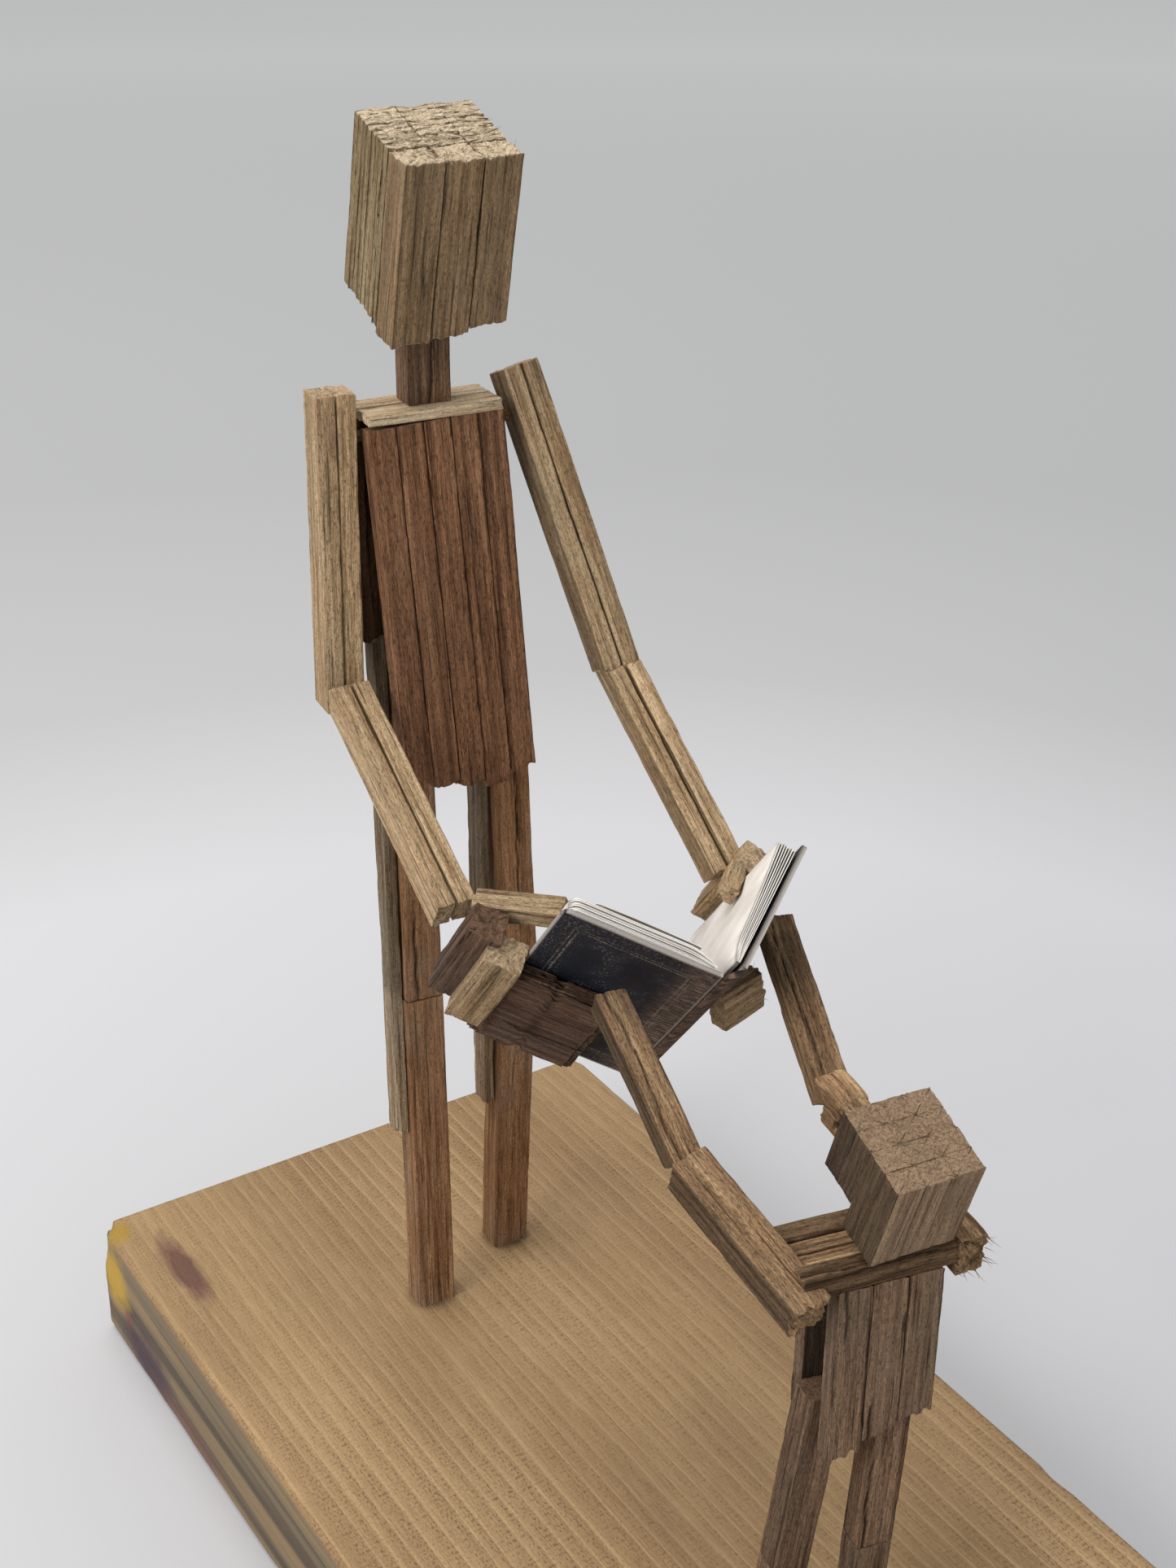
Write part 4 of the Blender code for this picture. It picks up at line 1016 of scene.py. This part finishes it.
def book_half(side, leaves, fan):
    """A cover and its pages. Fan is how far the leaves spread apart towards the fore-edge."""
    cover_node, page_node = f"book_{side}_cover", f"book_{side}_pages"
    half = Half(cover_node)
    low, high = half.measure(cover_node)
    x = np.linspace(low[0], high[0], 44)
    shell = Shell()
    board = noise(np.stack((x, x * 0, x * 0), axis=-1), (0.2, 1, 1), 5) * 0.04
    top, bottom = (np.full_like(x, level) + board for level in (high[1], low[1]))
    slab(shell, x, top - 0.05, bottom + 0.04, low[2], high[2], 1.1, 60)
    look = cover_look(f"{side}_cover_board", half.wide, half.tall)
    half.build(shell, f"book_{side}_cover_board", look, cover_node, "book_cover_board")

    low, high = half.measure(page_node)
    shell = Shell()
    rng = np.random.default_rng(seed_of(page_node))
    pitch = (high[1] - low[1]) / leaves
    for leaf in range(leaves):
        inset = rng.uniform(0.0, 0.35)
        trim = rng.uniform(0.0, 0.3, 2)
        x = np.linspace(low[0] + 0.1, high[0] - inset, 40)
        level = low[1] + pitch * leaf
        gutter = np.clip((GUTTER - (x - low[0])) / GUTTER, 0, 1)
        drop = gutter ** 2 * (0.75 * (level - low[1]))
        spread = fan * leaf / (leaves - 1) * np.clip((x - low[0]) / (high[0] - low[0]), 0, 1) ** 1.5
        bottom = level - drop + 0.01 + spread

        def ripple(across, z, leaf=leaf):
            return 0.05 * pitch * np.sin(z * 0.45 + leaf * 1.7) * np.clip(across / 12, 0, 1)

        slab(shell, x, bottom + pitch * 0.84, bottom, low[2] + trim[0], high[2] - trim[1], 1.2, 30,
             (0, 7.3 * leaf, 0), rng.uniform(-0.25, 0.15), ripple)
    half.build(shell, f"book_{side}_pages_paper", PAPER, page_node, "book_paper")


def loose_leaf():
    half = Half("book_near_cover")
    low, high = half.measure("book_loose_leaf")
    x = np.linspace(low[0], high[0], 30)
    share = (x - x[0]) / (x[-1] - x[0])
    curve = (low[1] + high[1]) / 2 + 0.12 * np.sin(share * math.pi) - 0.04
    shell = Shell()
    slab(shell, x, curve + 0.05, curve - 0.05, low[2], high[2], 0.8, 30, (0, 90, 0), 0.05)
    half.build(shell, "book_loose_leaf_paper", PAPER, "book_loose_leaf", "book_paper")


def book_spine():
    up = Squared("book_near_cover").turn[:, 2]
    across = np.array((1.0, 0.0, 0.0))
    turn = np.stack((across, np.cross(up, across), up), axis=1)
    local = cad_points("book_spine") @ turn
    low, high = local.min(axis=0), local.max(axis=0)
    wide, tall = (high[0] - low[0]) / 2, (high[2] - low[2]) / 2
    share = np.linspace(-1, 1, 26)
    outer = -0.5 * (high[1] - low[1]) + 0.34 * share ** 4 + 0.02
    inner = np.full_like(share, 0.18) - 0.2 * share ** 2

    def ribs(x, z):
        ridge = 0.05 * (np.sin(z * 2 * math.pi / RIB_PITCH) ** 2) + 0.02 * np.sin(z * 9.1)
        return np.where(np.abs(x) < wide * 0.98, ridge * (1 - (x / wide) ** 2), 0)

    shell = Shell()
    slab(shell, share * (wide - 0.02), inner, outer, -tall, tall, 0.0, 150, wave=ribs)
    shell.build("book_spine_cloth", placed(turn, turn @ ((low + high) / 2)), spine_look("book_spine_cloth"),
                "book_spine", "book_cover_board")


PAPER = paper_look("book_paper")
# How far from the hinge the pages bend down, and how far apart the ribs of the spine's cloth are
GUTTER = 4.2
RIB_PITCH = 0.62


def book():
    book_half("near", 9, 0.0)
    book_half("far", 7, 1.1)
    loose_leaf()
    book_spine()


# ---------------------------------------------------------------- plank

# The corners at the board's +Y end: the radius of the worn one, and how far in and back the other is chipped
WORN_ROUND = 4.2
CHIP_IN = 2.6
CHIP_BACK = 3.2
# The shadow painted round each foot: where it begins to fade and over what distance
FOOT = 2.6
FOOT_SHADE = 1.6


def plank():
    low, high = (np.array(corner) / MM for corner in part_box("base_plank"))
    wide, thick = high[0] - low[0], high[2] - low[2]
    xy, out, off = ring(wide, thick, 0.9, 0.8)
    z = np.concatenate(((low[1],), np.linspace(low[1] + 0.4, high[1] - 0.4, 200), (high[1],)))
    base = np.broadcast_to(xy[None], (len(z), len(xy), 2))
    level = np.broadcast_to(z[:, None], base.shape[:2])
    where = np.concatenate((base, level[..., None]), axis=-1)
    depth = 0.05 + 0.04 * noise(where, (1.0, 1.0, 0.05), 3) + 0.05 * noise(where, (0.12, 0.12, 0.04), 5)
    depth = depth + nearness(off, 1.6)[None] * 0.35 * patches(where, (0.4, 0.4, 0.22), 6)
    depth[0] += 0.3
    depth[-1] += 0.3
    points = np.concatenate((base - out[None] * depth[..., None], level[..., None]), axis=-1)
    reach = high[1] - points[..., 2]
    # The corner at +X is worn round and the one at -X is chipped away under a thin splinter.
    over = np.clip(WORN_ROUND - reach, 0, WORN_ROUND)
    limit = wide / 2 - (WORN_ROUND - np.sqrt(np.maximum(WORN_ROUND ** 2 - over ** 2, 0)))
    points[..., 0] = np.minimum(points[..., 0], limit)
    chip = nearness(reach, CHIP_BACK) * np.clip((points[..., 1] - 2.0) / 6.0, 0, 1)
    uneven = 0.6 + 0.6 * noise(where, (0.6, 0.6, 0.6), 8)
    left = np.clip((-points[..., 0] - (wide / 2 - CHIP_IN)) / 1.6, 0, 1)
    points[..., 1] -= left * chip * uneven * 2.4
    points[..., 0] += left * chip * 1.1
    points[..., 2] -= left * nearness(reach, 1.0) * 0.8 * uneven
    # Shadow painted round each foot on the top of the board, and shade painted in the chipped corner
    dark = np.zeros(level.shape)
    for leg in ("tall_right_shin", "tall_left_shin", "small_left_shin", "small_right_shin"):
        foot = Squared(leg)
        spot = foot.origin + foot.turn[:, 2] * (high[2] - foot.origin[2]) / foot.turn[2, 2]
        gap = np.hypot(points[..., 0] - spot[0], points[..., 2] - spot[1]) - FOOT
        dark = np.maximum(dark, nearness(gap, FOOT_SHADE) * 0.75 * (points[..., 1] > 0))
    dark = np.maximum(dark, left * chip * 0.5)
    shell = Shell()
    shell.add(points, [tube_faces(len(z), len(xy))], where, dark)
    for which in (0, 1):
        rings = np.stack([points[-which] * (s, s, 1) for s in np.linspace(1, 0.02, 14)])
        rings[1:, :, 2] -= (-1, 1)[which] * 0.12 * patches(rings[1:], (0.8, 0.8, 0.8), 9)
        flat = with_hub(rings)
        shell.add(flat, end_faces(len(rings), len(xy), which), flat, cut=1.0)
    place = Matrix(((1, 0, 0, 0), (0, 0, 1, 0), (0, 1, 0, (low[2] + high[2]) / 2 * MM), (0, 0, 0, 1)))
    shell.faces = [face[::-1] for face in shell.faces]
    shell.build("base_plank_pine", place, pine_look("pine_plank"), "base_plank", "pine_plank")


# ---------------------------------------------------------------- studio

# The floor is just under the board and reaches this far each way, in metres
FLOOR_LEVEL = -0.0002
FLOOR_REACH = 6.0
# The floor's colour with light and shade painted on it in rings, in linear red, green, blue and alpha, by its
# share of 2 m from the middle
FLOOR_PAINTED_LIGHT = (
    (0.0, (0.50, 0.50, 0.51, 1)), (0.07, (0.56, 0.56, 0.57, 1)), (0.11, (0.60, 0.60, 0.61, 1)),
    (0.16, (0.50, 0.50, 0.50, 1)), (0.25, (0.49, 0.49, 0.49, 1)), (0.42, (0.60, 0.60, 0.59, 1)),
    (0.75, (0.82, 0.82, 0.79, 1)),
)
# Each lamp's place and breadth in metres and its power in watts
LAMPS = {"overhead": ((-0.15, 0.2, 0.95), 0.7, 5.4), "left": ((-0.8, -0.15, 0.55), 0.5, 4.4)}
LAMP_COLOUR = (1.0, 0.98, 0.96)
LAMPS_FACE = (0, 0, 0.08)
ROOM_COLOUR = (0.95, 0.97, 1.0, 1)
ROOM_LIGHT = 0.6


def studio():
    scene = bpy.context.scene
    scene.view_settings.view_transform = "Standard"
    floor = bpy.data.meshes.new("floor")
    corners = ((-1, -1), (1, -1), (1, 1), (-1, 1))
    floor.from_pydata([(x * FLOOR_REACH, y * FLOOR_REACH, FLOOR_LEVEL) for x, y in corners], [], [(0, 1, 2, 3)])
    s = Shader("floor_paper")
    spot = s.node("ShaderNodeTexCoord").outputs["Object"]
    away = s.vector("MULTIPLY", spot, (1.0, 1.0, 0.0))
    # Light and shade painted on the floor in rings round the middle
    pale = s.ramp(s.vector("LENGTH", away), 0.0, 2.0, *FLOOR_PAINTED_LIGHT)
    fibre = s.noise(spot, (900.0, 900.0, 900.0), 3.0)
    floor.materials.append(s.finish(pale, 0.9, fibre, 0.02, 0.1))
    linked("floor", floor)

    world = bpy.data.worlds.new("soft_room")
    world.use_nodes = True
    background = world.node_tree.nodes["Background"]
    background.inputs[0].default_value = ROOM_COLOUR
    background.inputs[1].default_value = ROOM_LIGHT
    scene.world = world

    for name, (at, size, power) in LAMPS.items():
        lamp = bpy.data.lights.new(name, "AREA")
        lamp.shape = "DISK"
        lamp.size = size
        lamp.energy = power
        lamp.color = LAMP_COLOUR
        light = linked(name, lamp)
        light.location = at
        light.rotation_euler = (Vector(LAMPS_FACE) - Vector(at)).to_track_quat("-Z", "Y").to_euler()

    data = bpy.data.cameras.new("camera")
    data.lens = CAMERA_LENS
    data.clip_start, data.clip_end = 0.01, 20
    camera = linked("camera", data)
    turn = Matrix.Rotation(math.radians(CAMERA_TURN), 4, "Z")
    turn = turn @ Matrix.Rotation(math.radians(90 - CAMERA_DOWN), 4, "X")
    turn = turn @ Matrix.Rotation(math.radians(CAMERA_ROLL), 4, "Z")
    camera.matrix_world = Matrix.Translation(Vector(CAMERA_AT) * MM) @ turn
    scene.camera = camera


plank()
legs()
tall_body()
necks()
tall_head()
tall_arms()
hands()
book()
small_body()
small_arms()
studio()
